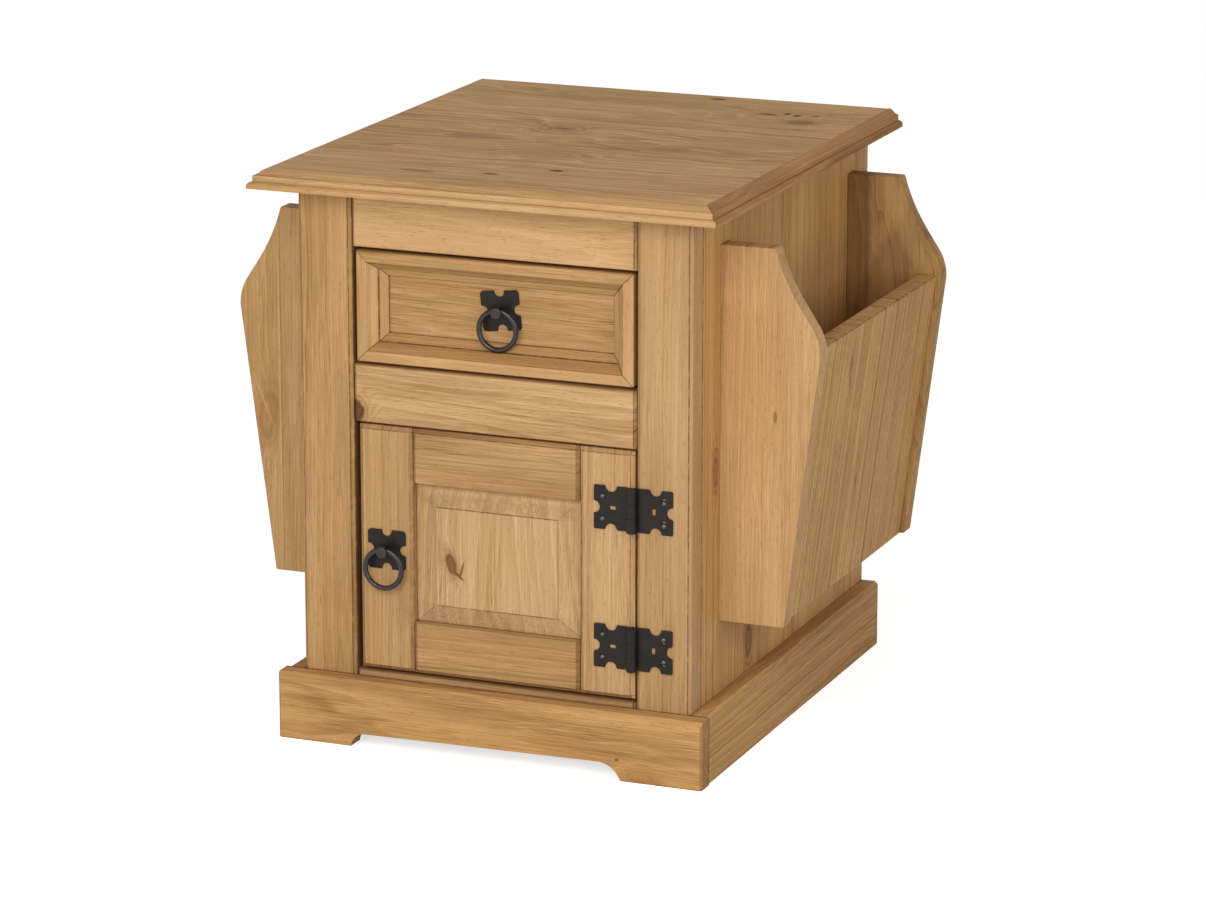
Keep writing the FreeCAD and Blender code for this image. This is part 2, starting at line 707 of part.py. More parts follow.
def hinge_leaf(height, side):
    """Leaf with scalloped edges, a small slot, its screw holes and its share of the barrel."""
    inner = hinge_barrel_radius + hinge_knuckle_gap
    corners = [
        (inner, -hinge_leaf_height / 2, 0),
        (hinge_leaf_reach, -hinge_leaf_height / 2, hinge_corner_radius),
        (hinge_leaf_reach, hinge_leaf_height / 2, hinge_corner_radius),
        (inner, hinge_leaf_height / 2, 0),
    ]
    edges = rounded_outline(corners, lambda p: Vector(hinge_x + side * p.x, front_y, height + p.y))
    leaf = outline_prism(edges, Vector(0, -hinge_leaf_thickness, 0))
    middle_x = hinge_x + side * (inner + hinge_leaf_reach) / 2
    notch_places = [(middle_x, height + hinge_leaf_height / 2), (middle_x, height - hinge_leaf_height / 2),
                    (hinge_x + side * hinge_leaf_reach, height)]
    for x, z in notch_places:
        leaf = leaf.cut(Part.makeCylinder(hinge_notch_radius, hinge_leaf_thickness, Vector(x, front_y, z),
                                          Vector(0, -1, 0)))
    slot_x = hinge_x + side * (hinge_leaf_reach - hinge_slot_inset)
    upright = side > 0
    across = hinge_slot_width if upright else hinge_slot_length
    tall = hinge_slot_length if upright else hinge_slot_width
    slot_corners = [(-across / 2, -tall / 2, hinge_slot_round), (across / 2, -tall / 2, hinge_slot_round),
                    (across / 2, tall / 2, hinge_slot_round), (-across / 2, tall / 2, hinge_slot_round)]
    slot_edges = rounded_outline(slot_corners, lambda p: Vector(slot_x + p.x, front_y, height + p.y))
    leaf = leaf.cut(outline_prism(slot_edges, Vector(0, -hinge_leaf_thickness, 0)))
    half_knuckle = hinge_leaf_height / hinge_knuckles / 2
    if side > 0:
        spans = [(-hinge_leaf_height / 2, -half_knuckle), (half_knuckle, hinge_leaf_height / 2)]
    else:
        spans = [(hinge_knuckle_gap - half_knuckle, half_knuckle - hinge_knuckle_gap)]
    for low, high in spans:
        leaf = leaf.fuse(hinge_knuckle(height + low, height + high, side))
    bore = Part.makeCylinder(hinge_pin_radius + hinge_pin_clearance, hinge_leaf_height,
                             Vector(hinge_x, hinge_y, height - hinge_leaf_height / 2), Vector(0, 0, 1))
    leaf = leaf.cut(bore).removeSplitter()
    for seat in hinge_screw_seats(height, side):
        leaf = leaf.cut(hinge_screw_hole(seat, hinge_hole_shift(height, side)))
    return leaf


def hinge_pin(height):
    """Pin with a low head at each end."""
    half = hinge_leaf_height / 2
    pin = Part.makeCylinder(hinge_pin_radius, hinge_leaf_height, Vector(hinge_x, hinge_y, height - half),
                            Vector(0, 0, 1))
    for end in (-1, 1):
        head = Part.makeCone(pin_head_radius, pin_head_tip_radius, pin_head_height,
                             Vector(hinge_x, hinge_y, height + end * half), Vector(0, 0, end))
        pin = pin.fuse(head)
    return pin.removeSplitter()


def build_hinges():
    """Leaves, pins and leaf screws of both hinges."""
    pieces["hinge_post_leaves"] = Part.makeCompound([hinge_leaf(height, 1) for height in hinge_heights])
    pieces["hinge_door_leaves"] = Part.makeCompound([hinge_leaf(height, -1) for height in hinge_heights])
    pieces["hinge_pins"] = Part.makeCompound([hinge_pin(height) for height in hinge_heights])
    for name, side in (("hinge_post_screws", 1), ("hinge_door_screws", -1)):
        screws = []
        for height in hinge_heights:
            for seat in hinge_screw_seats(height, side):
                screws.append(screw(seat, Vector(0, 1, 0), hinge_screw_length))
        pieces[name] = Part.makeCompound(screws)


def door_groove(x0, x1, z0, z1):
    """Groove for the door panel, as a box of the groove's width."""
    y = front_y + door_groove_setback
    return block(x0, x1, y - joint_gap, y + door_groove_width + joint_gap, z0, z1)


def build_door():
    """Door frame, its raised panel and the strike of the catch."""
    inner_left = door_left_x + door_stile_width
    inner_right = door_right_x - door_stile_width
    inner_low = door_z + door_rail_bottom_height
    inner_high = door_top_z - door_rail_top_height
    tongue_y = front_y + door_groove_setback

    stile_spans = {
        "door_stile_pull": (door_left_x, inner_left),
        "door_stile_hinge": (inner_right, door_right_x),
    }
    for name, (x0, x1) in stile_spans.items():
        stile = block(x0, x1, front_y, door_back_y, door_z, door_top_z)
        front_edges = edges_on(stile, x=x0, y=front_y) + edges_on(stile, x=x1, y=front_y)
        front_edges += edges_on(stile, y=front_y, z=door_z) + edges_on(stile, y=front_y, z=door_top_z)
        stile = stile.makeChamfer(door_edge_chamfer, front_edges)
        if name == "door_stile_pull":
            stile = stile.cut(door_groove(x1 - door_groove_depth, x1 + overrun, door_z, door_top_z))
            hole_x, hole_z = door_pull_place()
            stile = stile.cut(stud_hole(hole_x, hole_z, front_y, door_back_y))
        else:
            stile = stile.cut(door_groove(x0 - overrun, x0 + door_groove_depth, door_z, door_top_z))
            for height in hinge_heights:
                for seat in hinge_screw_seats(height, -1):
                    stile = stile.cut(screw_hole(seat, Vector(0, 1, 0), hinge_screw_length))
        pieces[name] = stile

    reach = door_groove_depth - joint_gap
    rail_places = {"door_rail_bottom": (door_z, inner_low), "door_rail_top": (inner_high, door_top_z)}
    for name, (z0, z1) in rail_places.items():
        rail = block(inner_left, inner_right, front_y, door_back_y, z0, z1)
        ends = edges_on(rail, x=inner_left, y=front_y) + edges_on(rail, x=inner_right, y=front_y)
        outer_z = z0 if name == "door_rail_bottom" else z1
        rail = rail.makeChamfer(door_edge_chamfer, ends + edges_on(rail, y=front_y, z=outer_z))
        stub = block(inner_left - reach, inner_right + reach, tongue_y, tongue_y + door_groove_width, z0, z1)
        rail = rail.fuse(stub).removeSplitter()
        if name == "door_rail_bottom":
            groove_z = (z1 - door_groove_depth, z1 + overrun)
        else:
            groove_z = (z0 - overrun, z0 + door_groove_depth)
        groove_x = (inner_left - overrun - reach, inner_right + overrun + reach)
        pieces[name] = rail.cut(door_groove(*groove_x, *groove_z))

    plate = block(inner_left - reach, inner_right + reach, tongue_y, tongue_y + door_groove_width,
                  inner_low - reach, inner_high + reach)

    def rectangle(side, low, high, y):
        corners = [
            Vector(inner_left + side, y, inner_low + low),
            Vector(inner_right - side, y, inner_low + low),
            Vector(inner_right - side, y, inner_high - high),
            Vector(inner_left + side, y, inner_high - high),
        ]
        return Part.makePolygon(corners + corners[:1])

    field_y = front_y + door_field_recess
    bevel_widths = (door_bevel_width, door_bevel_bottom_width, door_bevel_top_width)
    bevel_foot = rectangle(joint_gap, joint_gap, joint_gap, tongue_y)
    bevel = Part.makeLoft([bevel_foot, rectangle(*bevel_widths, field_y + door_field_step)], True, True)
    field_corners = [vertex.Point for vertex in rectangle(*bevel_widths, field_y).OrderedVertexes]
    field = polygon_prism(field_corners, Vector(0, door_field_step, 0))
    pieces["door_panel"] = plate.fuse(bevel).fuse(field).removeSplitter()

    strike_x = door_left_x + catch_side_inset
    strike_z = door_z + strike_margin
    strike_back_y = door_back_y + strike_thickness
    pieces["catch_strike"] = block(strike_x, strike_x + catch_width, door_back_y, strike_back_y,
                                   strike_z, strike_z + strike_height)
    catch_y = strike_back_y + catch_gap
    magnet = block(strike_x, strike_x + catch_width, catch_y, catch_y + catch_depth,
                   base_top_z, base_top_z + catch_height)
    pieces["catch_magnet"] = magnet.makeFillet(catch_ease, magnet.Edges)


def drawer_frame_outline(place):
    """Front moulding of the drawer, from its outer edge inwards and from its face to the back."""
    inner = drawer_frame_width
    rebate = drawer_frame_width - drawer_rebate_width
    slope_end = (drawer_flat_width + drawer_slope_width, drawer_slope_depth)
    quirk = (slope_end[0] + drawer_quirk_width, slope_end[1] + drawer_quirk_depth)
    points = [
        (0, board_ease),
        (board_ease, 0),
        (drawer_flat_width, 0),
        slope_end,
        quirk,
        (inner, drawer_panel_depth - drawer_lip),
        (inner, drawer_panel_depth),
        (rebate, drawer_panel_depth),
        (rebate, drawer_frame_depth),
        (0, drawer_frame_depth),
    ]
    return [place(inward, deep) for inward, deep in points]


def drawer_strip(length):
    """Mitred moulding strip along X, outer edge on z = 0, face on y = 0, inner edge upwards."""
    points = drawer_frame_outline(lambda inward, deep: Vector(-length / 2, deep, inward))
    strip = polygon_prism(points, Vector(length, 0, 0))
    half = length / 2
    inner_half = half - drawer_frame_width
    plan = [Vector(-half, 0, 0), Vector(half, 0, 0), Vector(inner_half, 0, drawer_frame_width),
            Vector(-inner_half, 0, drawer_frame_width)]
    return strip.common(polygon_prism(plan, Vector(0, drawer_frame_depth, 0)))


def build_drawer():
    """Drawer front of mitred mouldings and a recessed panel, and the box behind it."""
    middle_z = (drawer_bottom_z + drawer_top_z) / 2
    drawer_height = drawer_top_z - drawer_bottom_z
    strips = {
        "bottom": (2 * drawer_half, 0, Vector(0, drawer_face_y, drawer_bottom_z)),
        "right": (drawer_height, -right_angle, Vector(drawer_half, drawer_face_y, middle_z)),
        "top": (2 * drawer_half, half_turn, Vector(0, drawer_face_y, drawer_top_z)),
        "left": (drawer_height, right_angle, Vector(-drawer_half, drawer_face_y, middle_z)),
    }
    for name, (length, turn, place) in strips.items():
        strip = drawer_strip(length)
        strip.rotate(Vector(0, 0, 0), Vector(0, 1, 0), turn)
        strip.translate(place)
        pieces["drawer_moulding_" + name] = strip

    rebate = drawer_frame_width - drawer_rebate_width + joint_gap
    panel_y = drawer_face_y + drawer_panel_depth
    panel = block(rebate - drawer_half, drawer_half - rebate, panel_y, drawer_back_of_front_y,
                  drawer_bottom_z + rebate, drawer_top_z - rebate)
    hole_x, hole_z = drawer_pull_place()
    pieces["drawer_panel"] = panel.cut(stud_hole(hole_x, hole_z, panel_y, drawer_back_of_front_y))

    inner_x = drawer_side_x - drawer_side_thickness
    bottom_z = drawer_bottom_z + drawer_bottom_rise
    groove = block(joint_gap - inner_x - drawer_bottom_groove, inner_x + drawer_bottom_groove - joint_gap,
                   drawer_back_of_front_y, drawer_end_y, bottom_z - joint_gap,
                   bottom_z + drawer_bottom_thickness + joint_gap)
    side = block(inner_x, drawer_side_x, drawer_back_of_front_y, drawer_end_y,
                 drawer_bottom_z, drawer_side_top_z)
    top_edges = edges_on(side, x=inner_x, z=drawer_side_top_z)
    top_edges += edges_on(side, x=drawer_side_x, z=drawer_side_top_z)
    side = side.makeFillet(board_ease, top_edges).cut(groove)
    pieces["drawer_side_right"] = side
    pieces["drawer_side_left"] = mirrored(side)
    pieces["drawer_back"] = block(-inner_x, inner_x, drawer_end_y - drawer_side_thickness, drawer_end_y,
                                  bottom_z + drawer_bottom_thickness, drawer_side_top_z)
    bottom_half = inner_x + drawer_bottom_groove - 2 * joint_gap
    pieces["drawer_bottom"] = block(-bottom_half, bottom_half, drawer_back_of_front_y, drawer_end_y,
                                    bottom_z, bottom_z + drawer_bottom_thickness)


def door_pull_place():
    """Where the door's pull goes through the pull stile."""
    return door_left_x + door_pull_inset, (door_z + door_top_z) / 2


def drawer_pull_place():
    """Where the drawer's pull goes through the recessed panel."""
    return 0, (drawer_bottom_z + drawer_top_z) / 2 + drawer_pull_rise


def stud_hole(x, z, y0, y1):
    """Hole for the stud of a pull through a board from y0 to y1."""
    return Part.makeCylinder(stud_radius + stud_clearance, y1 - y0, Vector(x, y0, z), Vector(0, 1, 0))


def pull_plate(x, z, face_y, turn):
    """Back plate with a notch in the middle of each side."""
    half_w = plate_width / 2
    half_h = plate_height / 2
    corners = [(-half_w, -half_h, plate_corner_radius), (half_w, -half_h, plate_corner_radius),
               (half_w, half_h, plate_corner_radius), (-half_w, half_h, plate_corner_radius)]
    edges = rounded_outline(corners, lambda p: Vector(p.x, 0, p.y))
    plate = outline_prism(edges, Vector(0, -plate_thickness, 0))
    across = half_w - plate_notch_centre_inset
    tall = half_h - plate_notch_centre_inset
    for notch_x, notch_z in ((across, 0), (-across, 0), (0, tall), (0, -tall)):
        plate = plate.cut(Part.makeCylinder(plate_notch_radius, plate_thickness, Vector(notch_x, 0, notch_z),
                                            Vector(0, -1, 0)))
    for notch_x, notch_z in ((half_w, 0), (-half_w, 0), (0, half_h), (0, -half_h)):
        mouth_w = plate_notch_centre_inset if notch_x else plate_notch_radius
        mouth_h = plate_notch_centre_inset if notch_z else plate_notch_radius
        plate = plate.cut(block(notch_x - mouth_w, notch_x + mouth_w, -plate_thickness, 0,
                                notch_z - mouth_h, notch_z + mouth_h))
    plate = plate.cut(stud_hole(0, 0, -plate_thickness, 0))
    plate.rotate(Vector(0, 0, 0), Vector(0, 1, 0), turn)
    plate.translate(Vector(x, face_y, z))
    return plate


def pull_eye(x, z, face_y, back_y_of_board):
    """Eye in one piece: a lug that holds the ring, a button in front and the stud through the board."""
    plate_y = face_y - plate_thickness
    tip_y = plate_y - eye_reach
    button_back_y = tip_y + eye_button_thickness
    button = Part.makeCylinder(eye_button_radius, eye_button_thickness, Vector(x, tip_y, z), Vector(0, 1, 0))
    button = button.makeFillet(eye_button_round, edges_on(button, y=tip_y))
    neck = Part.makeCylinder(eye_neck_radius, plate_y - button_back_y, Vector(x, button_back_y, z),
                             Vector(0, 1, 0))
    hole_radius = wire_radius + ring_play
    lug_end = Vector(x - eye_lug_width / 2, plate_y - ring_standoff, z + ring_rise)
    lug = Part.makeCylinder(hole_radius + eye_lug_wall, eye_lug_width, lug_end, Vector(1, 0, 0))
    hole = Part.makeCylinder(hole_radius, eye_lug_width, lug_end, Vector(1, 0, 0))
    stud = Part.makeCylinder(stud_radius, back_y_of_board + nut_thickness - plate_y, Vector(x, plate_y, z),
                             Vector(0, 1, 0))
    return button.fuse(neck).fuse(lug).cut(hole).fuse(stud).removeSplitter()


def pull_nut(x, z, y):
    """Hexagon nut on the stud behind the board."""
    corners = []
    for i in range(nut_sides):
        angle = 2 * math.pi * i / nut_sides
        corners.append(Vector(x + nut_radius * math.cos(angle), y, z + nut_radius * math.sin(angle)))
    nut = polygon_prism(corners, Vector(0, nut_thickness, 0))
    return nut.cut(Part.makeCylinder(stud_radius + nut_clearance, nut_thickness, Vector(x, y, z),
                                     Vector(0, 1, 0)))


def build_pull(owner, x, z, face_y, board_back_y, turn):
    """Plate, eye, nut and hanging ring of one pull."""
    pieces[owner + "_pull_plate"] = pull_plate(x, z, face_y, turn)
    pieces[owner + "_pull_eye"] = pull_eye(x, z, face_y, board_back_y)
    pieces[owner + "_pull_nut"] = pull_nut(x, z, board_back_y)
    ring_y = face_y - plate_thickness - ring_standoff
    ring_centre = Vector(x, ring_y, z + ring_rise - ring_radius)
    pieces[owner + "_pull_ring"] = Part.makeTorus(ring_radius, wire_radius, ring_centre, Vector(0, 1, 0))


def build_pulls():
    """Ring pulls of the door and the drawer."""
    door_x, door_pull_z = door_pull_place()
    build_pull("door", door_x, door_pull_z, front_y, door_back_y, 0)
    drawer_x, drawer_pull_z = drawer_pull_place()
    build_pull("drawer", drawer_x, drawer_pull_z, drawer_face_y + drawer_panel_depth, drawer_back_of_front_y,
               drawer_plate_turn)


def main():
    """Builds every piece and writes one file for each."""
    build_top()
    build_front_frame()
    build_sides_and_back()
    build_inside()
    build_plinth()
    build_racks()
    build_carcass_screws()
    build_hinges()
    build_door()
    build_drawer()
    build_pulls()
    os.makedirs("parts", exist_ok=True)
    for name, shape in pieces.items():
        if not shape.isValid():
            print("not valid:", name)
        shape.exportStep("parts/" + name + ".step")
    print(len(pieces), "pieces")


main()
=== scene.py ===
"""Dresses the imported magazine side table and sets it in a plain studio.

The solids keep their shapes. Each board gets its own cut of waxed pine, with the knots and glued strips
that it shows, the fittings get their black lacquer, and the floor, lamps and camera stand as a catalogue
studio has them.
"""
import logging
import math
from dataclasses import dataclass
from enum import Enum
from functools import partial
from typing import Any

import bpy
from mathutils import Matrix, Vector

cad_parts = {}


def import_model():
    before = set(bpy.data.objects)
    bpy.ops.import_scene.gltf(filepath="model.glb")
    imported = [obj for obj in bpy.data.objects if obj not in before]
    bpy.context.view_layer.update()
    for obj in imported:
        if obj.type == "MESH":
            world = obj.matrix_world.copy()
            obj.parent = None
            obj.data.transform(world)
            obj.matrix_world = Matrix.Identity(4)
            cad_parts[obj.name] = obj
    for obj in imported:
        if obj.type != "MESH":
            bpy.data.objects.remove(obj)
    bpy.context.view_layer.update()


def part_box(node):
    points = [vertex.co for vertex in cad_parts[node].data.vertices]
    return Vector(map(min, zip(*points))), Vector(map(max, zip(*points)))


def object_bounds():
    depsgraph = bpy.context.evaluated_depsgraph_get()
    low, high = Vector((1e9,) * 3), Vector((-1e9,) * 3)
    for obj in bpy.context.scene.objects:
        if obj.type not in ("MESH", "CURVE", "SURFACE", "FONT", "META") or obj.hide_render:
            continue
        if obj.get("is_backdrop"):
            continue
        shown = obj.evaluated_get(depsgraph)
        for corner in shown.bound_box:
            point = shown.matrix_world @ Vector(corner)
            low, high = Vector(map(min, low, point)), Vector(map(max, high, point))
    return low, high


LOG = logging.getLogger("magazine_table")
PER_METRE = 1000.0
MM = 0.001
WHOLE_BOARD_MM = 5000.0

HONEY = "#C59D6E"
KNOT_BROWN = "#6A4529"
KNOT_RED = "#744B35"
MARK_BROWN = "#5E3F26"
BARK = "#3A2A20"
KNOT_HEART_GAIN = (1.35, 1.28, 1.2)
END_RING_CONTRAST = 0.6
NOISE_MEAN = 0.5
RAGGED_SHARE = 0.7
SWIRL = "#A67A4B"
PALE_STREAK = "#D2AE7D"
HEART_STAIN = "#6B4A2A"
SPECK = "#8B6035"
RIPPLES_PER_REACH = 9.0

# Width in millimetres and strength of the dark lines along joints, chamfers and edges
FINE_LINE = (0.8, 0.35)
CHAMFER_LINE = (1.3, 0.6)
WORN_LINE = (1.0, 0.65)
RIGHT_CORNER_LINE = (1.5, 0.65)
LEFT_CORNER_LINE = (1.5, 0.5)
FRONT_POST_LINE = (3.0, 0.65)
BACK_POST_LINE = (3.0, 0.8)
PLINTH_LINE = (4.0, 0.85)
RACK_RIM_LINE = (1.8, 0.5)
GLUED_END_LINE = (0.9, 0.35)
# Width of the painted shadow lines on the drawer's mouldings
SHADOW_LINE_MM = 1.1

# Where each pattern of the wood or of a coat starts and where it is whole, in its own measure
END_FACING = (0.3, 0.9)
UPWARD_SHADE_FACING = (0.2, 0.6)
EDGE_FACING = (0.8, 0.95)
PUSH_REACH = (0.4, 4.0)
HALO_REACH = (1.0, 2.8)
CORE_REACH = (0.9, 1.45)
RIM_REACH = (0.35, 1.1)
LATE_RISE = (0.3, 0.88)
LATE_FALL = (0.9, 1.0)
SPRING_SEASON = (0.02, 0.24)
PATCH_NOISE = (0.35, 0.65)
RESIN_NOISE = (0.45, 0.75)
SPECK_NOISE = (0.62, 0.74)
BROKEN_NOISE = (0.35, 0.55)
JOINT_OPENNESS = (0.3, 0.75)
THIN_COAT_NOISE = (0.4, 0.7)

# How strong each pattern is at its two ends, or at most
PATCH_GAIN = (0.35, 1.5)
BROKEN_GAIN = (0.5, 1.0)
SPECK_DEPTH = 0.4
GLUE_DEPTH = 0.3
JOINT_WAX_AND_SHADE_DEPTH = 0.85
END_UPWARD_SHADE_SHARE = 0.2
GRAIN_BUMP_STRENGTH = 0.35
COAT_BUMP_STRENGTH = 0.5

# How the glue lines, the joints' wax and painted shade, the ends of lines and the uneven years are drawn, and
# how wax bends light
GLUE_LINE_MM = 0.8
JOINT_SAMPLES = 6
FADE_SHARE = 0.7
DRIFT_PER_YEAR = 0.3
DRIFT_YEARS = 2.4
WEATHER_POWER = 1.6
WAX_IOR = 1.46

Rgba = tuple[float, float, float, float]
Triple = tuple[float, float, float]
Pair = tuple[float, float]
Node = bpy.types.Node
Socket = bpy.types.NodeSocket
Tree = bpy.types.NodeTree
Material = bpy.types.Material


class Axis(Enum):
    """Direction of a board's grain in the table's frame."""

    X = 0
    Y = 1
    Z = 2


class Side(Enum):
    """Which side of the table a rack hangs on, as the sign of its X."""

    LEFT = -1
    RIGHT = 1


def linear(colour: str, gain: Triple = (1.0, 1.0, 1.0)) -> Rgba:
    """Turns an sRGB hex colour to linear light.

    Args:
        colour: The colour as #RRGGBB.
        gain: Factors on the linear red, green and blue.

    Returns:
        Linear red, green, blue and full alpha.
    """
    channels = []
    for start, factor in zip((1, 3, 5), gain):
        value = int(colour[start:start + 2], 16) / 255
        light = value / 12.92 if value <= 0.04045 else ((value + 0.055) / 1.055) ** 2.4
        channels.append(light * factor)
    return channels[0], channels[1], channels[2], 1.0


def add_node(tree: Tree, kind: str, links: dict[Any, Any] | None = None,
             **settings: Any) -> Node:
    """Adds a node with its settings, values and links.

    Args:
        tree: The tree that gets the node.
        kind: The node's type name after ShaderNode.
        links: Input names or numbers with a socket, a node for its first output, or a plain value.
        settings: Properties of the node itself.

    Returns:
        The new node.
    """
    node = tree.nodes.new("ShaderNode" + kind)
    for name, value in settings.items():
        setattr(node, name, value)
    for name, value in (links or {}).items():
        source = value.outputs[0] if isinstance(value, Node) else value
        if isinstance(source, Socket):
            tree.links.new(source, node.inputs[name])
        else:
            node.inputs[name].default_value = source
    return node


def new_material(name: str) -> tuple[Material, Tree, Node]:
    """Makes a material with a bare surface shader.

    Args:
        name: The material's name.

    Returns:
        The material, its node tree and its surface shader.
    """
    material = bpy.data.materials.new(name)
    material.use_nodes = True
    tree = material.node_tree
    return material, tree, tree.nodes["Principled BSDF"]


def dress(node: str, material: Material) -> None:
    """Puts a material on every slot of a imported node.

    Args:
        node: The node's name.
        material: The material that it gets.
    """
    for slot in bpy.data.objects[node].material_slots:
        slot.material = material
    LOG.info("%s wears %s", node, material.name)


@dataclass(frozen=True)
class Knot:
    """A knot, swirl or small mark on a board's face, or a pale streak of painted light.

    Attributes:
        place_mm: Where it lies in the table's frame.
        length_mm: Its length along the grain.
        width_mm: Its width across the grain.
        push_mm: How far it bends the growth rings round it.
        strength: How much of its colour covers the wood, from 0 to 1.
        halo: How much the wood round it is darkened, from 0 to 1.
        colour: Its colour.
        turn_deg: How far it leans from the grain.
        ripple: How much the darker wood round it breaks into rings, from 0 to 1.
    """

    place_mm: Triple
    length_mm: float
    width_mm: float
    push_mm: float = 7.0
    strength: float = 0.85
    halo: float = 0.35
    colour: str = KNOT_BROWN
    turn_deg: float = 0.0
    ripple: float = 0.4


@dataclass(frozen=True)
class Seam:
    """A dark line of wax where a board meets its neighbour, or of painted shade along a step, quirk, groove or
    gap.

    Attributes:
        point_mm: A point on the line, in the table's frame.
        normal: The direction square to the joint.
        width_mm: The line's width.
        strength: How much of the dark colour covers the wood, from 0 to 1.
        reach_mm: How far from the point it runs, or 0 for the whole length.
        edge_share: How much of it a face square to it takes, from 0 to 1.
    """

    point_mm: Triple
    normal: Triple
    width_mm: float = 1.1
    strength: float = 0.75
    reach_mm: float = 0.0
    edge_share: float = 1.0


@dataclass(frozen=True)
class Board:
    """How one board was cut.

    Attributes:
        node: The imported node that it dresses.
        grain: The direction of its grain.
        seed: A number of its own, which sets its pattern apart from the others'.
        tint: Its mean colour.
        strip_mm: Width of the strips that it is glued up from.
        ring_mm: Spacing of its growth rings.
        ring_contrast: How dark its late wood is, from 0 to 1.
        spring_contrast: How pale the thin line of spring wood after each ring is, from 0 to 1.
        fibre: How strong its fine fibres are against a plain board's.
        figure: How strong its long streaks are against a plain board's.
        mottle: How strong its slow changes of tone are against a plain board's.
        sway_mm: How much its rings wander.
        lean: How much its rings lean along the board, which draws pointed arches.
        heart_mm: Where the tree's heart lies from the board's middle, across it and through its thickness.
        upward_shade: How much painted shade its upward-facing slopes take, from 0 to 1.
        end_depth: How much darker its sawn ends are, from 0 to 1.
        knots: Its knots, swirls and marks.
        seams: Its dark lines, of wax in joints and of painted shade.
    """

    node: str
    grain: Axis
    seed: int
    tint: str = HONEY
    strip_mm: float = WHOLE_BOARD_MM
    ring_mm: float = 5.5
    ring_contrast: float = 0.25
    spring_contrast: float = 0.12
    fibre: float = 1.0
    figure: float = 1.0
    mottle: float = 1.0
    sway_mm: float = 16.0
    lean: float = 0.012
    heart_mm: Pair = (300.0, 40.0)
    upward_shade: float = 1.0
    end_depth: float = 0.65
    knots: tuple[Knot, ...] = ()
    seams: tuple[Seam, ...] = ()


@dataclass(frozen=True)
class WaxedPine:
    """Planed plantation pine, stained honey and rubbed with wax.

    The eye sees soft early wood with thin darker late wood, fine fibres along the grain, brown specks, darker
    end grain, dark wax in the joints and painted shade in recesses and on upward slopes, under a satin sheen.

    Attributes:
        name: Wood and process.
        fibre_mm: Length and width of a fibre streak, drawn wider than a real one so that it shows.
        line_mm: Length and width of a thin long line.
        streak_mm: Length and width of a wider streak.
        cloud_mm: Length and width of the slow changes of tone.
        speck_mm: Length and width of a resin speck.
        ragged_mm: Length and width of the uneven edge of a knot.
        broken_mm: Length and width of the gaps in a dark line.
        slip_mm: How far strips are shifted along, across and through, so that no two look alike.
        early_gain: Early wood against the board's mean colour.
        late_gain: Late wood against the board's mean colour.
        end_gain: End grain against the side grain.
        joint_reach_mm: How far the dark wax and painted shade spread from a joint or tight recess.
        joint_wax_and_shade_colour: The colour of that wax and shade, which the glue and dark lines take too.
        upward_shade_gain: Upward-facing slopes, painted in shade, against the rest.
        patch_mm: Length and width of the patches in which the fibres show more or less.
        shares: How much fibres, lines, streaks, clouds and the strip's own tone darken the wood.
        mean_darkness: The share of late wood in plain wood.
        roughness: Least roughness of the wax.
        roughness_spread: How much more roughness the fibres add.
        gloss: How strongly the wax mirrors light.
        orange_gain: Resin-rich wood against the board's mean colour.
        bump_mm: Height of the raised grain.
    """

    name: str = "waxed_pine"
    fibre_mm: Pair = (30.0, 0.8)
    line_mm: Pair = (190.0, 1.5)
    streak_mm: Pair = (210.0, 9.0)
    cloud_mm: Pair = (260.0, 45.0)
    patch_mm: Pair = (110.0, 26.0)
    speck_mm: Pair = (7.0, 0.9)
    ragged_mm: Pair = (13.0, 6.0)
    broken_mm: Pair = (7.0, 7.0)
    slip_mm: Triple = (800.0, 60.0, 30.0)
    early_gain: Triple = (1.3, 1.33, 1.38)
    late_gain: Triple = (0.5, 0.42, 0.33)
    end_gain: Triple = (0.7, 0.66, 0.63)
    upward_shade_gain: Triple = (0.76, 0.7, 0.63)
    orange_gain: Triple = (0.97, 0.9, 0.78)
    joint_reach_mm: float = 2.2
    joint_wax_and_shade_colour: str = "#4A3019"
    shares: tuple[float, ...] = (0.8, 0.35, 0.4, 0.6, 0.2)
    mean_darkness: float = 0.37
    roughness: float = 0.45
    roughness_spread: float = 0.22
    gloss: float = 0.05
    bump_mm: float = 0.3


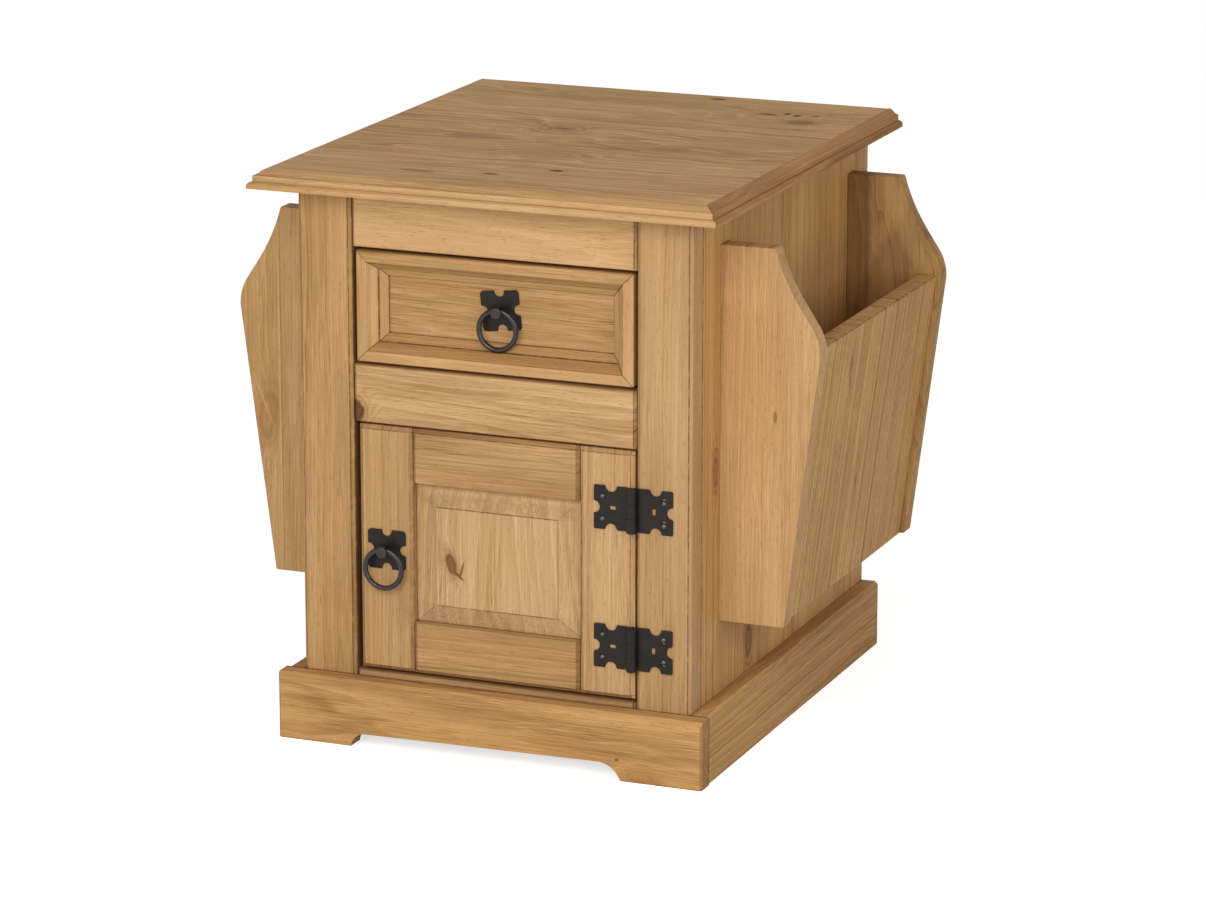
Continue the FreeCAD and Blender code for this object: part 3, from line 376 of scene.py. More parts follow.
class PineShader:
    """Node graph of one waxed board."""

    def __init__(self, finish: WaxedPine, board: Board) -> None:
        """Takes the board's size from the frame and starts its material.

        Args:
            finish: The shared finish.
            board: The board's own cut.
        """
        self.finish = finish
        self.board = board
        low, high = (corner * PER_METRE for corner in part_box(board.node))
        size = high - low
        grain = board.grain.value
        others = sorted((axis for axis in range(3) if axis != grain), key=lambda axis: -size[axis])
        self.order = (grain, others[0], others[1])
        middle = (low + high) / 2
        self.middle = self.turned(middle)
        self.material, self.tree, self.shader = new_material(finish.name + "_" + board.node)
        self.add = partial(add_node, self.tree)
        self.coords = self.add("TexCoord")
        self.facing = self.add("SeparateXYZ", {0: self.coords.outputs["Normal"]})

    def turned(self, point: Triple | Vector) -> Triple:
        """Gives a point's places along, across and through the board."""
        return point[self.order[0]], point[self.order[1]], point[self.order[2]]

    def build(self) -> Material:
        """Draws the whole graph.

        Returns:
            The finished material.
        """
        place = self.board_place()
        end = self.end_grain()
        strip, luck, slipped = self.glued_strips(place)
        reaches = self.knot_reaches(place)
        rings = self.ring_darkness(slipped, reaches, end)
        fibre = self.stretched_noise(slipped, self.finish.fibre_mm, 1.0)
        darkness = self.darkness(slipped, luck, rings, fibre)
        colour = self.wood_colour(darkness, slipped, strip)
        colour = self.knot_colour(colour, reaches)
        colour = self.worked_and_shaded_colour(colour, end, place)
        self.finish_surface(colour, fibre, darkness)
        return self.material

    def board_place(self) -> Node:
        """Gives the place on the board in millimetres from its middle: along, across and through."""
        parts = self.add("SeparateXYZ", {0: self.coords.outputs["Object"]})
        turned = self.add("CombineXYZ",
                          {slot: parts.outputs[axis] for slot, axis in enumerate(self.order)})
        return self.add("VectorMath",
                        {0: turned, 1: (PER_METRE,) * 3, 2: tuple(-value for value in self.middle)},
                        operation="MULTIPLY_ADD")

    def end_grain(self) -> Node:
        """Tells the sawn ends of the board, 1, from its sides, 0."""
        square = self.add("Math", {0: self.facing.outputs[self.order[0]]}, operation="ABSOLUTE")
        return self.add("MapRange", {"Value": square, "From Min": END_FACING[0], "From Max": END_FACING[1]},
                        interpolation_type="SMOOTHSTEP")

    def glued_strips(self, place: Node) -> tuple[Node, Node, Node]:
        """Splits the board into strips that each have a pattern of their own.

        Args:
            place: The place on the board.

        Returns:
            The strip count across the board, each strip's random numbers, and the shifted place.
        """
        parts = self.add("SeparateXYZ", {0: place})
        strip = self.add("Math",
                         {0: parts.outputs[1], 1: 1 / self.board.strip_mm, 2: self.board.seed + 0.5},
                         operation="MULTIPLY_ADD")
        number = self.add("Math", {0: strip}, operation="FLOOR")
        luck = self.add("TexWhiteNoise", {"W": number}, noise_dimensions="1D")
        slipped = self.add("VectorMath",
                           {0: luck.outputs["Color"], 1: self.finish.slip_mm, 2: place},
                           operation="MULTIPLY_ADD")
        return strip, luck, slipped

    def stretched_noise(self, place: Node, size_mm: Pair,
                        detail: float) -> Node:
        """Draws an uneven pattern that is stretched along the grain.

        Args:
            place: The place on the board.
            size_mm: Length and width of its features.
            detail: How many finer layers it has.

        Returns:
            The noise node.
        """
        length, width = size_mm
        scaled = self.add("VectorMath",
                          {0: place, 1: (1 / length, 1 / width, 1 / width)}, operation="MULTIPLY")
        return self.add("TexNoise", {"Vector": scaled, "Scale": 1.0, "Detail": detail})

    def knot_reaches(self, place: Node) -> list[Node]:
        """Measures how far each point lies from each knot.

        Args:
            place: The place on the board.

        Returns:
            One distance for each knot, where 1 is its edge.
        """
        reaches = []
        if not self.board.knots:
            return reaches
        ragged = self.stretched_noise(place, self.finish.ragged_mm, 2.0)
        for knot in self.board.knots:
            spot = tuple(at - centre for at, centre in zip(self.turned(knot.place_mm), self.middle))
            shifted = self.add("Mapping",
                               {"Vector": place, "Location": spot,
                                "Rotation": (0.0, 0.0, math.radians(knot.turn_deg)),
                                "Scale": (knot.length_mm / 2, knot.width_mm / 2, WHOLE_BOARD_MM)},
                               vector_type="TEXTURE")
            away = self.add("VectorMath", {0: shifted}, operation="LENGTH")
            uneven = self.add("Math", {0: ragged, 1: RAGGED_SHARE, 2: away.outputs["Value"]},
                              operation="MULTIPLY_ADD")
            reaches.append(self.add("Math", {0: uneven, 1: NOISE_MEAN * RAGGED_SHARE},
                                    operation="SUBTRACT"))
        return reaches

    def ring_darkness(self, slipped: Node, reaches: list[Node],
                      end: Node) -> Node:
        """Draws the growth rings as cuts through leaning, wandering cylinders.

        Args:
            slipped: The strip's shifted place.
            reaches: The distances from the knots, which the rings bend round.
            end: 1 on the board's ends, where the rings show most.

        Returns:
            How much the rings darken the wood, or brighten it where it is below 0.
        """
        across, through = self.board.heart_mm
        from_heart = self.add("VectorMath",
                              {0: slipped, 1: (0.0, 1.0, 1.0), 2: (0.0, -across, -through)},
                              operation="MULTIPLY_ADD")
        radius = self.add("VectorMath", {0: from_heart}, operation="LENGTH")
        sway = self.stretched_noise(slipped, self.finish.cloud_mm, 2.0)
        grown = self.add("Math",
                         {0: sway, 1: self.board.sway_mm, 2: radius.outputs["Value"]},
                         operation="MULTIPLY_ADD")
        parts = self.add("SeparateXYZ", {0: slipped})
        grown = self.add("Math", {0: parts.outputs[0], 1: self.board.lean, 2: grown},
                         operation="MULTIPLY_ADD")
        for knot, reach in zip(self.board.knots, reaches):
            push = self.add("MapRange",
                            {"Value": reach, "From Min": PUSH_REACH[0], "From Max": PUSH_REACH[1],
                             "To Min": knot.push_mm, "To Max": 0.0},
                            interpolation_type="SMOOTHERSTEP")
            grown = self.add("Math", {0: grown, 1: push}, operation="ADD")
        years = self.add("Math", {0: grown, 1: self.board.ring_mm}, operation="DIVIDE")
        slow = self.add("Math", {0: years, 1: DRIFT_PER_YEAR}, operation="MULTIPLY")
        uneven = self.add("TexNoise", {"W": slow, "Scale": 1.0, "Detail": 1.0},
                          noise_dimensions="1D")
        count = self.add("Math", {0: uneven, 1: DRIFT_YEARS, 2: years}, operation="MULTIPLY_ADD")
        season = self.add("Math", {0: count}, operation="FRACT")
        year = self.add("Math", {0: count}, operation="FLOOR")
        weather = self.add("TexWhiteNoise", {"W": year}, noise_dimensions="1D")
        rise = self.add("MapRange", {"Value": season, "From Min": LATE_RISE[0], "From Max": LATE_RISE[1]},
                        interpolation_type="SMOOTHSTEP")
        fall = self.add("MapRange",
                        {"Value": season, "From Min": LATE_FALL[0], "From Max": LATE_FALL[1],
                         "To Min": 1.0, "To Max": 0.0},
                        interpolation_type="SMOOTHSTEP")
        ring = self.add("Math", {0: rise, 1: fall}, operation="MULTIPLY")
        share = self.add("Math", {0: weather, 1: WEATHER_POWER}, operation="POWER")
        seen = self.add("MapRange",
                        {"Value": end, "To Min": self.board.ring_contrast, "To Max": END_RING_CONTRAST})
        strong = self.add("Math", {0: share, 1: seen}, operation="MULTIPLY")
        spring = self.add("MapRange",
                          {"Value": season, "From Min": SPRING_SEASON[0], "From Max": SPRING_SEASON[1],
                           "To Min": -self.board.spring_contrast, "To Max": 0.0})
        return self.add("Math", {0: ring, 1: strong, 2: spring}, operation="MULTIPLY_ADD")

    def darkness(self, slipped: Node, luck: Node, rings: Node,
                 fibre: Node) -> Node:
        """Adds up what darkens the wood.

        Args:
            slipped: The strip's shifted place.
            luck: The strip's random numbers.
            rings: How much the rings darken it.
            fibre: The fibre streaks.

        Returns:
            The share of the late wood's colour, from 0 to 1.
        """
        line = self.stretched_noise(slipped, self.finish.line_mm, 1.0)
        streak = self.stretched_noise(slipped, self.finish.streak_mm, 0.5)
        cloud = self.stretched_noise(slipped, self.finish.cloud_mm, 1.0)
        patch = self.stretched_noise(slipped, self.finish.patch_mm, 1.0)
        showing = self.add("MapRange",
                           {"Value": patch, "From Min": PATCH_NOISE[0], "From Max": PATCH_NOISE[1],
                            "To Min": PATCH_GAIN[0], "To Max": PATCH_GAIN[1]})
        centred = self.add("Math", {0: fibre, 1: NOISE_MEAN}, operation="SUBTRACT")
        patchy = self.add("Math", {0: centred, 1: showing, 2: NOISE_MEAN},
                          operation="MULTIPLY_ADD")
        gains = (self.board.fibre, self.board.figure, self.board.figure, self.board.mottle, 1.0)
        shares = [share * gain for share, gain in zip(self.finish.shares, gains)]
        start = self.finish.mean_darkness - NOISE_MEAN * sum(shares)
        total = self.add("Math", {0: rings, 1: start}, operation="ADD")
        for node, share in zip((patchy, line, streak, cloud, luck), shares):
            total = self.add("Math", {0: node, 1: share, 2: total}, operation="MULTIPLY_ADD")
        return self.add("Clamp", {"Value": total})

    def wood_colour(self, darkness: Node, slipped: Node,
                    strip: Node) -> Socket:
        """Colours the clear wood, its specks and its glue lines.

        Args:
            darkness: The share of late wood.
            slipped: The strip's shifted place.
            strip: The strip count across the board.

        Returns:
            The colour.
        """
        wood = self.add("Mix",
                        {0: darkness, 6: linear(self.board.tint, self.finish.early_gain),
                         7: linear(self.board.tint, self.finish.late_gain)}, data_type="RGBA")
        resin = self.stretched_noise(slipped, self.finish.cloud_mm, 2.0)
        rich = self.add("MapRange", {"Value": resin.outputs["Color"], "From Min": RESIN_NOISE[0],
                                     "From Max": RESIN_NOISE[1]}, interpolation_type="SMOOTHSTEP")
        wood = self.add("Mix",
                        {0: rich, 6: wood.outputs[2], 7: (*self.finish.orange_gain, 1.0)}, data_type="RGBA",
                        blend_type="MULTIPLY")
        speck = self.stretched_noise(slipped, self.finish.speck_mm, 1.0)
        specked = self.add("MapRange",
                           {"Value": speck, "From Min": SPECK_NOISE[0], "From Max": SPECK_NOISE[1],
                            "To Min": 0.0, "To Max": SPECK_DEPTH},
                           interpolation_type="SMOOTHSTEP")
        wood = self.add("Mix", {0: specked, 6: wood.outputs[2], 7: linear(SPECK)},
                        data_type="RGBA")
        edge = self.add("Math", {0: strip, 1: 0.5}, operation="PINGPONG")
        glue = self.add("MapRange",
                        {"Value": edge, "From Min": 0.0, "From Max": GLUE_LINE_MM / self.board.strip_mm,
                         "To Min": GLUE_DEPTH, "To Max": 0.0})
        return self.add("Mix",
                        {0: glue, 6: wood.outputs[2], 7: linear(self.finish.joint_wax_and_shade_colour)},
                        data_type="RGBA").outputs[2]

    def knot_colour(self, colour: Socket, reaches: list[Node]) -> Socket:
        """Colours the knots and the darker wood round them.

        Args:
            colour: The clear wood.
            reaches: The distances from the knots.

        Returns:
            The colour with knots.
        """
        for knot, reach in zip(self.board.knots, reaches):
            halo = self.add("MapRange",
                            {"Value": reach, "From Min": HALO_REACH[0], "From Max": HALO_REACH[1],
                             "To Min": knot.halo, "To Max": 0.0},
                            interpolation_type="SMOOTHSTEP")
            phase = self.add("Math", {0: reach, 1: RIPPLES_PER_REACH}, operation="MULTIPLY")
            wave = self.add("Math", {0: phase}, operation="SINE")
            rippled = self.add("Math", {0: wave, 1: knot.ripple, 2: 1.0},
                               operation="MULTIPLY_ADD")
            halo = self.add("Math", {0: halo, 1: rippled}, operation="MULTIPLY")
            ringed = self.add("Mix", {0: halo, 6: colour, 7: linear(SWIRL)}, data_type="RGBA")
            core = self.add("MapRange",
                            {"Value": reach, "From Min": CORE_REACH[0], "From Max": CORE_REACH[1],
                             "To Min": knot.strength, "To Max": 0.0}, interpolation_type="SMOOTHSTEP")
            rim = self.add("MapRange",
                           {"Value": reach, "From Min": RIM_REACH[0], "From Max": RIM_REACH[1]},
                           interpolation_type="SMOOTHSTEP")
            heart = self.add("Mix",
                             {0: rim, 6: linear(knot.colour, KNOT_HEART_GAIN), 7: linear(knot.colour)},
                             data_type="RGBA")
            colour = self.add("Mix",
                              {0: core, 6: ringed.outputs[2], 7: heart.outputs[2]},
                              data_type="RGBA").outputs[2]
        return colour

    def worked_and_shaded_colour(self, colour: Socket, end: Node,
                      place: Node) -> Socket:
        """Darkens the end grain, the joints and the dark lines, and paints shade in recesses and on upward
        slopes.

        Args:
            colour: The colour of the wood.
            end: 1 on the board's ends.
            place: The place on the board.

        Returns:
            The colour with its marks and its painted shade.
        """
        soaked = self.add("Math", {0: end, 1: self.board.end_depth}, operation="MULTIPLY")
        thirsty = self.add("Mix", {0: soaked, 6: colour, 7: (*self.finish.end_gain, 1.0)},
                           data_type="RGBA", blend_type="MULTIPLY")
        # Painted shade: faces turned upward are darkened by their facing alone, end grain less.
        lying = self.add("MapRange",
                         {"Value": self.facing.outputs["Z"], "From Min": UPWARD_SHADE_FACING[0],
                          "From Max": UPWARD_SHADE_FACING[1], "To Min": 0.0, "To Max": self.board.upward_shade},
                         interpolation_type="SMOOTHSTEP")
        sided = self.add("MapRange", {"Value": end, "To Min": 1.0, "To Max": END_UPWARD_SHADE_SHARE})
        upward_shade_share = self.add("Math", {0: lying, 1: sided}, operation="MULTIPLY")
        upward_shaded = self.add("Mix",
                           {0: upward_shade_share, 6: thirsty.outputs[2], 7: (*self.finish.upward_shade_gain, 1.0)},
                           data_type="RGBA", blend_type="MULTIPLY")
        # Painted shade and dark wax: ambient occlusion darkens joints and tight recesses towards the wax's
        # colour.
        nearby = self.add("AmbientOcclusion", {"Distance": self.finish.joint_reach_mm * MM},
                          samples=JOINT_SAMPLES)
        joint_wax_and_shade = self.add("MapRange",
                         {"Value": nearby.outputs["AO"], "From Min": JOINT_OPENNESS[0],
                          "From Max": JOINT_OPENNESS[1], "To Min": JOINT_WAX_AND_SHADE_DEPTH, "To Max": 0.0},
                         interpolation_type="SMOOTHSTEP")
        worked_and_shaded = self.add("Mix",
                          {0: joint_wax_and_shade, 6: upward_shaded.outputs[2], 7: linear(self.finish.joint_wax_and_shade_colour)},
                          data_type="RGBA").outputs[2]
        if self.board.seams:
            gaps = self.stretched_noise(place, self.finish.broken_mm, 1.0)
            broken = self.add("MapRange",
                              {"Value": gaps, "From Min": BROKEN_NOISE[0], "From Max": BROKEN_NOISE[1],
                               "To Min": BROKEN_GAIN[0], "To Max": BROKEN_GAIN[1]})
        # Dark lines: wax in joints, and painted shade along steps, grooves, chamfers and in gaps.
        for seam in self.board.seams:
            normal = Vector(seam.normal).normalized()
            along = self.add("VectorMath",
                             {0: self.coords.outputs["Object"], 1: tuple(normal * PER_METRE)},
                             operation="DOT_PRODUCT")
            gap = self.add("Math",
                           {0: along.outputs["Value"], 1: normal.dot(Vector(seam.point_mm))},
                           operation="SUBTRACT")
            width = self.add("Math", {0: gap}, operation="ABSOLUTE")
            line = self.add("MapRange",
                            {"Value": width, "From Min": seam.width_mm / 4, "From Max": seam.width_mm / 2,
                             "To Min": seam.strength, "To Max": 0.0})
            # How much of each dark line is left after its worn gaps.
            wear_and_painted_light = broken
            if seam.edge_share < 1:
                slant = self.add("VectorMath",
                                 {0: self.coords.outputs["Normal"], 1: tuple(normal)},
                                 operation="DOT_PRODUCT")
                square = self.add("Math", {0: slant.outputs["Value"]}, operation="ABSOLUTE")
                wear_and_painted_light = self.add("MapRange",
                                {"Value": square, "From Min": EDGE_FACING[0], "From Max": EDGE_FACING[1],
                                 "To Min": broken, "To Max": seam.edge_share})
            line = self.add("Math", {0: line, 1: wear_and_painted_light}, operation="MULTIPLY")
            if seam.reach_mm:
                near = self.add("VectorMath",
                                {0: self.coords.outputs["Object"], 1: tuple(Vector(seam.point_mm) * MM)},
                                operation="DISTANCE")
                kept = self.add("MapRange",
                                {"Value": near.outputs["Value"], "From Min": FADE_SHARE * seam.reach_mm * MM,
                                 "From Max": seam.reach_mm * MM, "To Min": 1.0, "To Max": 0.0})
                line = self.add("Math", {0: line, 1: kept}, operation="MULTIPLY")
            worked_and_shaded = self.add("Mix",
                              {0: line, 6: worked_and_shaded, 7: linear(self.finish.joint_wax_and_shade_colour)},
                              data_type="RGBA").outputs[2]
        return worked_and_shaded

    def finish_surface(self, colour: Socket, fibre: Node,
                       darkness: Node) -> None:
        """Sets the sheen and the raised grain.

        Args:
            colour: The finished colour.
            fibre: The fibre streaks, which the wax fills unevenly.
            darkness: The share of late wood, which stands a little proud.
        """
        dull = self.add("Math",
                        {0: fibre, 1: self.finish.roughness_spread, 2: self.finish.roughness},
                        operation="MULTIPLY_ADD")
        raised = self.add("Bump",
                          {"Height": darkness, "Distance": self.finish.bump_mm * MM,
                           "Strength": GRAIN_BUMP_STRENGTH})
        self.tree.links.new(colour, self.shader.inputs["Base Color"])
        self.tree.links.new(dull.outputs[0], self.shader.inputs["Roughness"])
        self.tree.links.new(raised.outputs[0], self.shader.inputs["Normal"])
        self.shader.inputs["IOR"].default_value = WAX_IOR
        self.shader.inputs["Specular IOR Level"].default_value = self.finish.gloss


PINE = WaxedPine()
# Pine peeled round the log for plywood: broad pale figure, no joints of its own
PLYWOOD = WaxedPine(name="peeled_pine_plywood", early_gain=(1.12, 1.13, 1.15), late_gain=(0.8, 0.77, 0.74))


@dataclass(frozen=True)
class CoatedMetal:
    """A coated or plated metal part, or a moulded one, seen as a slightly uneven satin skin.

    Attributes:
        name: Material and process.
        colour: Main colour.
        wear_and_painted_light: Colour where the coat is thinner.
        metallic: 1 for plated metal, 0 for lacquer and plastic.
        roughness: Least roughness.
        roughness_spread: How much more roughness the coat's unevenness adds.
        gloss: How strongly the coat mirrors light.
        peel_mm: Size of the coat's fine dimples.
        cloud_mm: Size of its slow changes.
        bump_mm: Depth of the dimples.
    """

    name: str
    colour: str
    wear_and_painted_light: str
    metallic: float
    roughness: float
    roughness_spread: float
    gloss: float
    peel_mm: float
    cloud_mm: float
    bump_mm: float

    def build(self) -> Material:
        """Draws the coat.

        Returns:
            The finished material.
        """
        material, tree, shader = new_material(self.name)
        coords = add_node(tree, "TexCoord")
        cloud = add_node(tree, "TexNoise",
                         {"Vector": coords.outputs["Object"], "Scale": PER_METRE / self.cloud_mm,
                          "Detail": 3.0})
        peel = add_node(tree, "TexNoise",
                        {"Vector": coords.outputs["Object"], "Scale": PER_METRE / self.peel_mm,
                         "Detail": 2.0})
        thin = add_node(tree, "MapRange",
                        {"Value": cloud, "From Min": THIN_COAT_NOISE[0], "From Max": THIN_COAT_NOISE[1]},
                        interpolation_type="SMOOTHSTEP")
        colour = add_node(tree, "Mix", {0: thin, 6: linear(self.colour), 7: linear(self.wear_and_painted_light)},
                          data_type="RGBA")
        dull = add_node(tree, "Math", {0: cloud, 1: self.roughness_spread, 2: self.roughness},
                        operation="MULTIPLY_ADD")
        dimples = add_node(tree, "Bump",
                           {"Height": peel, "Distance": self.bump_mm * MM, "Strength": COAT_BUMP_STRENGTH})
        tree.links.new(colour.outputs[2], shader.inputs["Base Color"])
        tree.links.new(dull.outputs[0], shader.inputs["Roughness"])
        tree.links.new(dimples.outputs[0], shader.inputs["Normal"])
        shader.inputs["Metallic"].default_value = self.metallic
        shader.inputs["Specular IOR Level"].default_value = self.gloss
        return material


# Pressed iron under baked black lacquer: nearly black, satin, with faint dimples that soften its highlights
BLACK_IRON = CoatedMetal("lacquered_black_iron", "#1C1814", "#26211D", 0.0, 0.34, 0.2, 0.22, 1.6, 14.0,
                         0.06)
# Drawn wire and turned eyes under the same lacquer, rubbed smooth by hands: thin bright lines along the ring
BLACK_WIRE = CoatedMetal("lacquered_black_wire", "#191613", "#23201D", 0.0, 0.2, 0.12, 0.5, 1.6, 14.0, 0.03)
# Turned screws under the same lacquer: smoother, so each head catches one small light
BLACK_SCREW = CoatedMetal("lacquered_black_screw", "#0B0A0A", "#121110", 0.0, 0.12, 0.05, 1.0, 1.2, 9.0, 0.01)
# Zinc-plated steel of nuts, screws and strike: pale grey metal with a faint bloom
ZINC_STEEL = CoatedMetal("zinc_plated_steel", "#B9BBBD", "#A3A6A9", 1.0, 0.28, 0.2, 0.5, 0.8, 7.0, 0.02)
# Moulded brown catch: a dull plastic with a fine moulded grain
CATCH_PLASTIC = CoatedMetal("moulded_brown_plastic", "#4B3626", "#54402F", 0.0, 0.45, 0.15, 0.4, 0.6, 9.0,
                            0.03)


@dataclass
class TableTop:
    """The top's glued panel and the moulding on three of its edges.

    Attributes:
        strip_mm: Width of the panel's strips.
    """

    strip_mm: float = 94.0

    def boards(self) -> list[Board]:
        """Lists the top's boards with their marks."""
        low, high = (corner * PER_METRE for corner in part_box("top_moulding_front"))
        left = Seam((low.x, low.y, 0.0), (1.0, -1.0, 0.0))
        right = Seam((high.x, low.y, 0.0), (1.0, 1.0, 0.0))
        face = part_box("top_panel")[1].z * PER_METRE
        marks = (
            Knot((-37.0, 37.0, face), 26.0, 20.0, 16.0, 0.25, 0.6, SWIRL, 0.0, 0.8),
            Knot((-37.0, 37.0, face), 15.0, 7.0, 0.0, 0.7, 0.0),
            Knot((125.0, 165.0, face), 60.0, 46.0, 14.0, 0.0, 0.2, SWIRL, 0.0, 0.8),
            Knot((-1.7, -75.4, face), 40.0, 26.0, 12.0, 0.25, 0.35, SWIRL),
            Knot((-15.5, -174.3, face), 12.0, 5.0, 2.0, 0.85, 0.3, MARK_BROWN),
            Knot((-78.0, -185.0, face), 26.0, 6.0, 4.0, 0.5, 0.3, MARK_BROWN),
            Knot((31.9, -141.2, face), 10.0, 6.0, 3.0, 0.95, 0.3, BARK),
            Knot((41.4, 223.2, face), 12.0, 9.0, 3.0, 0.9, 0.4, MARK_BROWN),
            Knot((109.5, 170.1, face), 15.0, 6.5, 10.0, 0.85, 0.6, MARK_BROWN),
            Knot((125.8, 178.4, face), 5.5, 7.5, 2.0, 0.9, 0.4, BARK),
            Knot((137.2, 173.3, face), 5.5, 7.5, 2.0, 0.9, 0.4, BARK),
            Knot((153.5, 177.0, face), 6.0, 5.0, 1.0, 0.75, 0.3, MARK_BROWN),
            Knot((150.8, 143.5, face), 22.0, 16.0, 12.0, 0.6, 0.6, KNOT_RED),
        )
        return [
            Board("top_panel", Axis.X, 15, "#C79D69", strip_mm=self.strip_mm, ring_mm=11.0, ring_contrast=0.3,
                  spring_contrast=0.25, fibre=1.3, mottle=1.1, sway_mm=70.0, lean=0.02,
                  heart_mm=(20.0, -45.0), upward_shade=0.0, knots=marks),
            Board("top_moulding_front", Axis.X, 12, "#C0996A", mottle=1.5, upward_shade=0.35, seams=(left, right)),
            Board("top_moulding_left", Axis.Y, 13, "#B98F5C", upward_shade=0.35, seams=(left,)),
            Board("top_moulding_right", Axis.Y, 14, "#B38655", ring_contrast=0.5, figure=1.8, mottle=2.4,
                  upward_shade=0.35, seams=(right,)),
        ]


@dataclass
class Carcass:
    """Posts, rails, side panels, back and the boards inside.

    Attributes:
        strip_mm: Width of the side panels' strips.
        chamfer_mm: Width of the chamfers where posts and rails meet.
        corner_mm: Width of the posts' outer chamfer.
        right_facing_shade: Width of the painted shade on a right-facing chamfer against the chamfer's own, and
            its strength.
    """

    strip_mm: float = 76.0
    chamfer_mm: float = 3.0
    corner_mm: float = 2.7
    right_facing_shade: Pair = (1.4, 0.25)

    def boards(self) -> list[Board]:
        """Lists the carcass's boards with their marks."""
        rail_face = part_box("middle_rail")[0].y * PER_METRE
        side_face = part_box("side_panel_right")[1].x * PER_METRE
        rail_knot = Knot((-129.8, rail_face, 300.0), 14.0, 17.0, 14.0, 0.95, 0.5, "#5E3D2E", 0.0, 0.8)
        low_knot = Knot((side_face, -66.0, 88.0), 28.0, 16.0, 12.0, 0.65, 0.8, KNOT_BROWN, 0.0, 0.9)
        eye = Knot((side_face, -151.0, 262.7), 26.0, 9.0, 10.0, 0.55, 0.7, "#8A5F38", 0.0, 0.9)
        level = (1.0, 0.0, 0.0)
        upright = (0.0, 1.0, 0.0)
        front = Seam((0.0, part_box("front_post_right")[1].y * PER_METRE, 0.0), upright, *FRONT_POST_LINE)
        back = Seam((0.0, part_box("back_post_right")[0].y * PER_METRE, 0.0), upright, *BACK_POST_LINE)
        left_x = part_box("front_post_left")[1].x * PER_METRE
        right_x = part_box("front_post_right")[0].x * PER_METRE
        corner_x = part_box("front_post_right")[1].x * PER_METRE - self.corner_mm
        half = self.chamfer_mm / 2
        # These joint lines also darken the posts' inner faces in the door's and the drawer's gaps: painted
        # shade there.
        left = Seam((left_x, 0.0, 0.0), level, edge_share=0.7)
        right = Seam((right_x, 0.0, 0.0), level, edge_share=0.7)
        # Painted shade on the chamfers that face right.
        right_facing_shade = (self.chamfer_mm * self.right_facing_shade[0], self.right_facing_shade[1])
        left_shaded_chamfer = Seam((left_x - half, 0.0, 0.0), level, *right_facing_shade)
        right_shaded_chamfer = Seam((right_x - half, 0.0, 0.0), level, *right_facing_shade)
        left_line = Seam((left_x + self.chamfer_mm, 0.0, 0.0), level, *FINE_LINE)
        right_line = Seam((right_x + self.chamfer_mm, 0.0, 0.0), level, *FINE_LINE)
        left_start = Seam((left_x - self.chamfer_mm, 0.0, 0.0), level, *CHAMFER_LINE)
        right_start = Seam((right_x - self.chamfer_mm, 0.0, 0.0), level, *CHAMFER_LINE)
        corner = Seam((corner_x, 0.0, 0.0), level, *RIGHT_CORNER_LINE)
        outer = Seam((-corner_x, 0.0, 0.0), level, *LEFT_CORNER_LINE)
        rail = (left, right, left_line, right_shaded_chamfer, right_start)
        return [
            Board("front_post_left", Axis.Z, 21, "#BC9362", fibre=1.1, figure=0.8,
                  seams=(left, front, left_shaded_chamfer, left_start, outer)),
            Board("front_post_right", Axis.Z, 22, "#BD966A", fibre=0.8, figure=0.7, mottle=1.2,
                  seams=(right, front, right_line, corner)),
            Board("back_post_left", Axis.Z, 23),
            Board("back_post_right", Axis.Z, 24),
            Board("side_panel_left", Axis.Z, 25, "#C99A60", strip_mm=self.strip_mm, figure=1.5,
                  seams=(front, back)),
            Board("side_panel_right", Axis.Z, 26, "#C69A63", strip_mm=self.strip_mm, ring_contrast=0.25,
                  figure=1.2, knots=(low_knot, eye), seams=(front, back)),
            Board("top_rail", Axis.X, 33, "#C59E6F", ring_mm=9.0, ring_contrast=0.1, figure=0.6, lean=0.04,
                  heart_mm=(20.0, 40.0), seams=rail),
            Board("middle_rail", Axis.X, 34, "#C59E70", fibre=1.2, mottle=1.2, lean=0.03,
                  heart_mm=(-30.0, 40.0), knots=(rail_knot,), seams=rail),
            # The bottom rail's darker tint is partly painted shade from the door above it.
            Board("bottom_rail", Axis.X, 35, "#B08A5E", seams=rail),
            Board("base_panel", Axis.X, 36, strip_mm=self.strip_mm),
            Board("cleats", Axis.Y, 37),
            Board("drawer_runners", Axis.Y, 38),
            Board("drawer_guides", Axis.Y, 39),
            Board("drawer_kickers", Axis.Y, 40),
        ]


@dataclass
class Plinth:
    """The shaped front board and the two side boards that the table stands on.

    Attributes:
        tint: The colour of the front and the left-hand board.
    """

    tint: str = "#BC915C"

    def boards(self) -> list[Board]:
        """Lists the plinth's boards with their marks."""
        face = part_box("plinth_front")[0].y * PER_METRE
        swirl = Knot((143.0, face, 5.4), 22.0, 9.0, 9.0, 0.35, 0.4, SWIRL)
        dot = Knot((122.0, face, 18.8), 3.6, 2.6, 2.0, 0.7, 0.3, MARK_BROWN)
        joint = Seam((0.0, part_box("plinth_front")[1].y * PER_METRE, 0.0), (0.0, 1.0, 0.0), *PLINTH_LINE)
        return [
            Board("plinth_front", Axis.X, 41, self.tint, ring_mm=8.0, ring_contrast=0.45, fibre=1.4,
                  figure=1.5, mottle=1.5, sway_mm=40.0, lean=0.03, heart_mm=(35.0, 55.0), upward_shade=0.0,
                  end_depth=1.0, knots=(swirl, dot), seams=(joint,)),
            Board("plinth_left", Axis.Y, 42, self.tint, figure=1.5, seams=(joint,)),
            Board("plinth_right", Axis.Y, 43, "#C09661", ring_contrast=0.3, spring_contrast=0.3, fibre=1.3,
                  figure=1.2, upward_shade=0.0, seams=(joint,)),
        ]


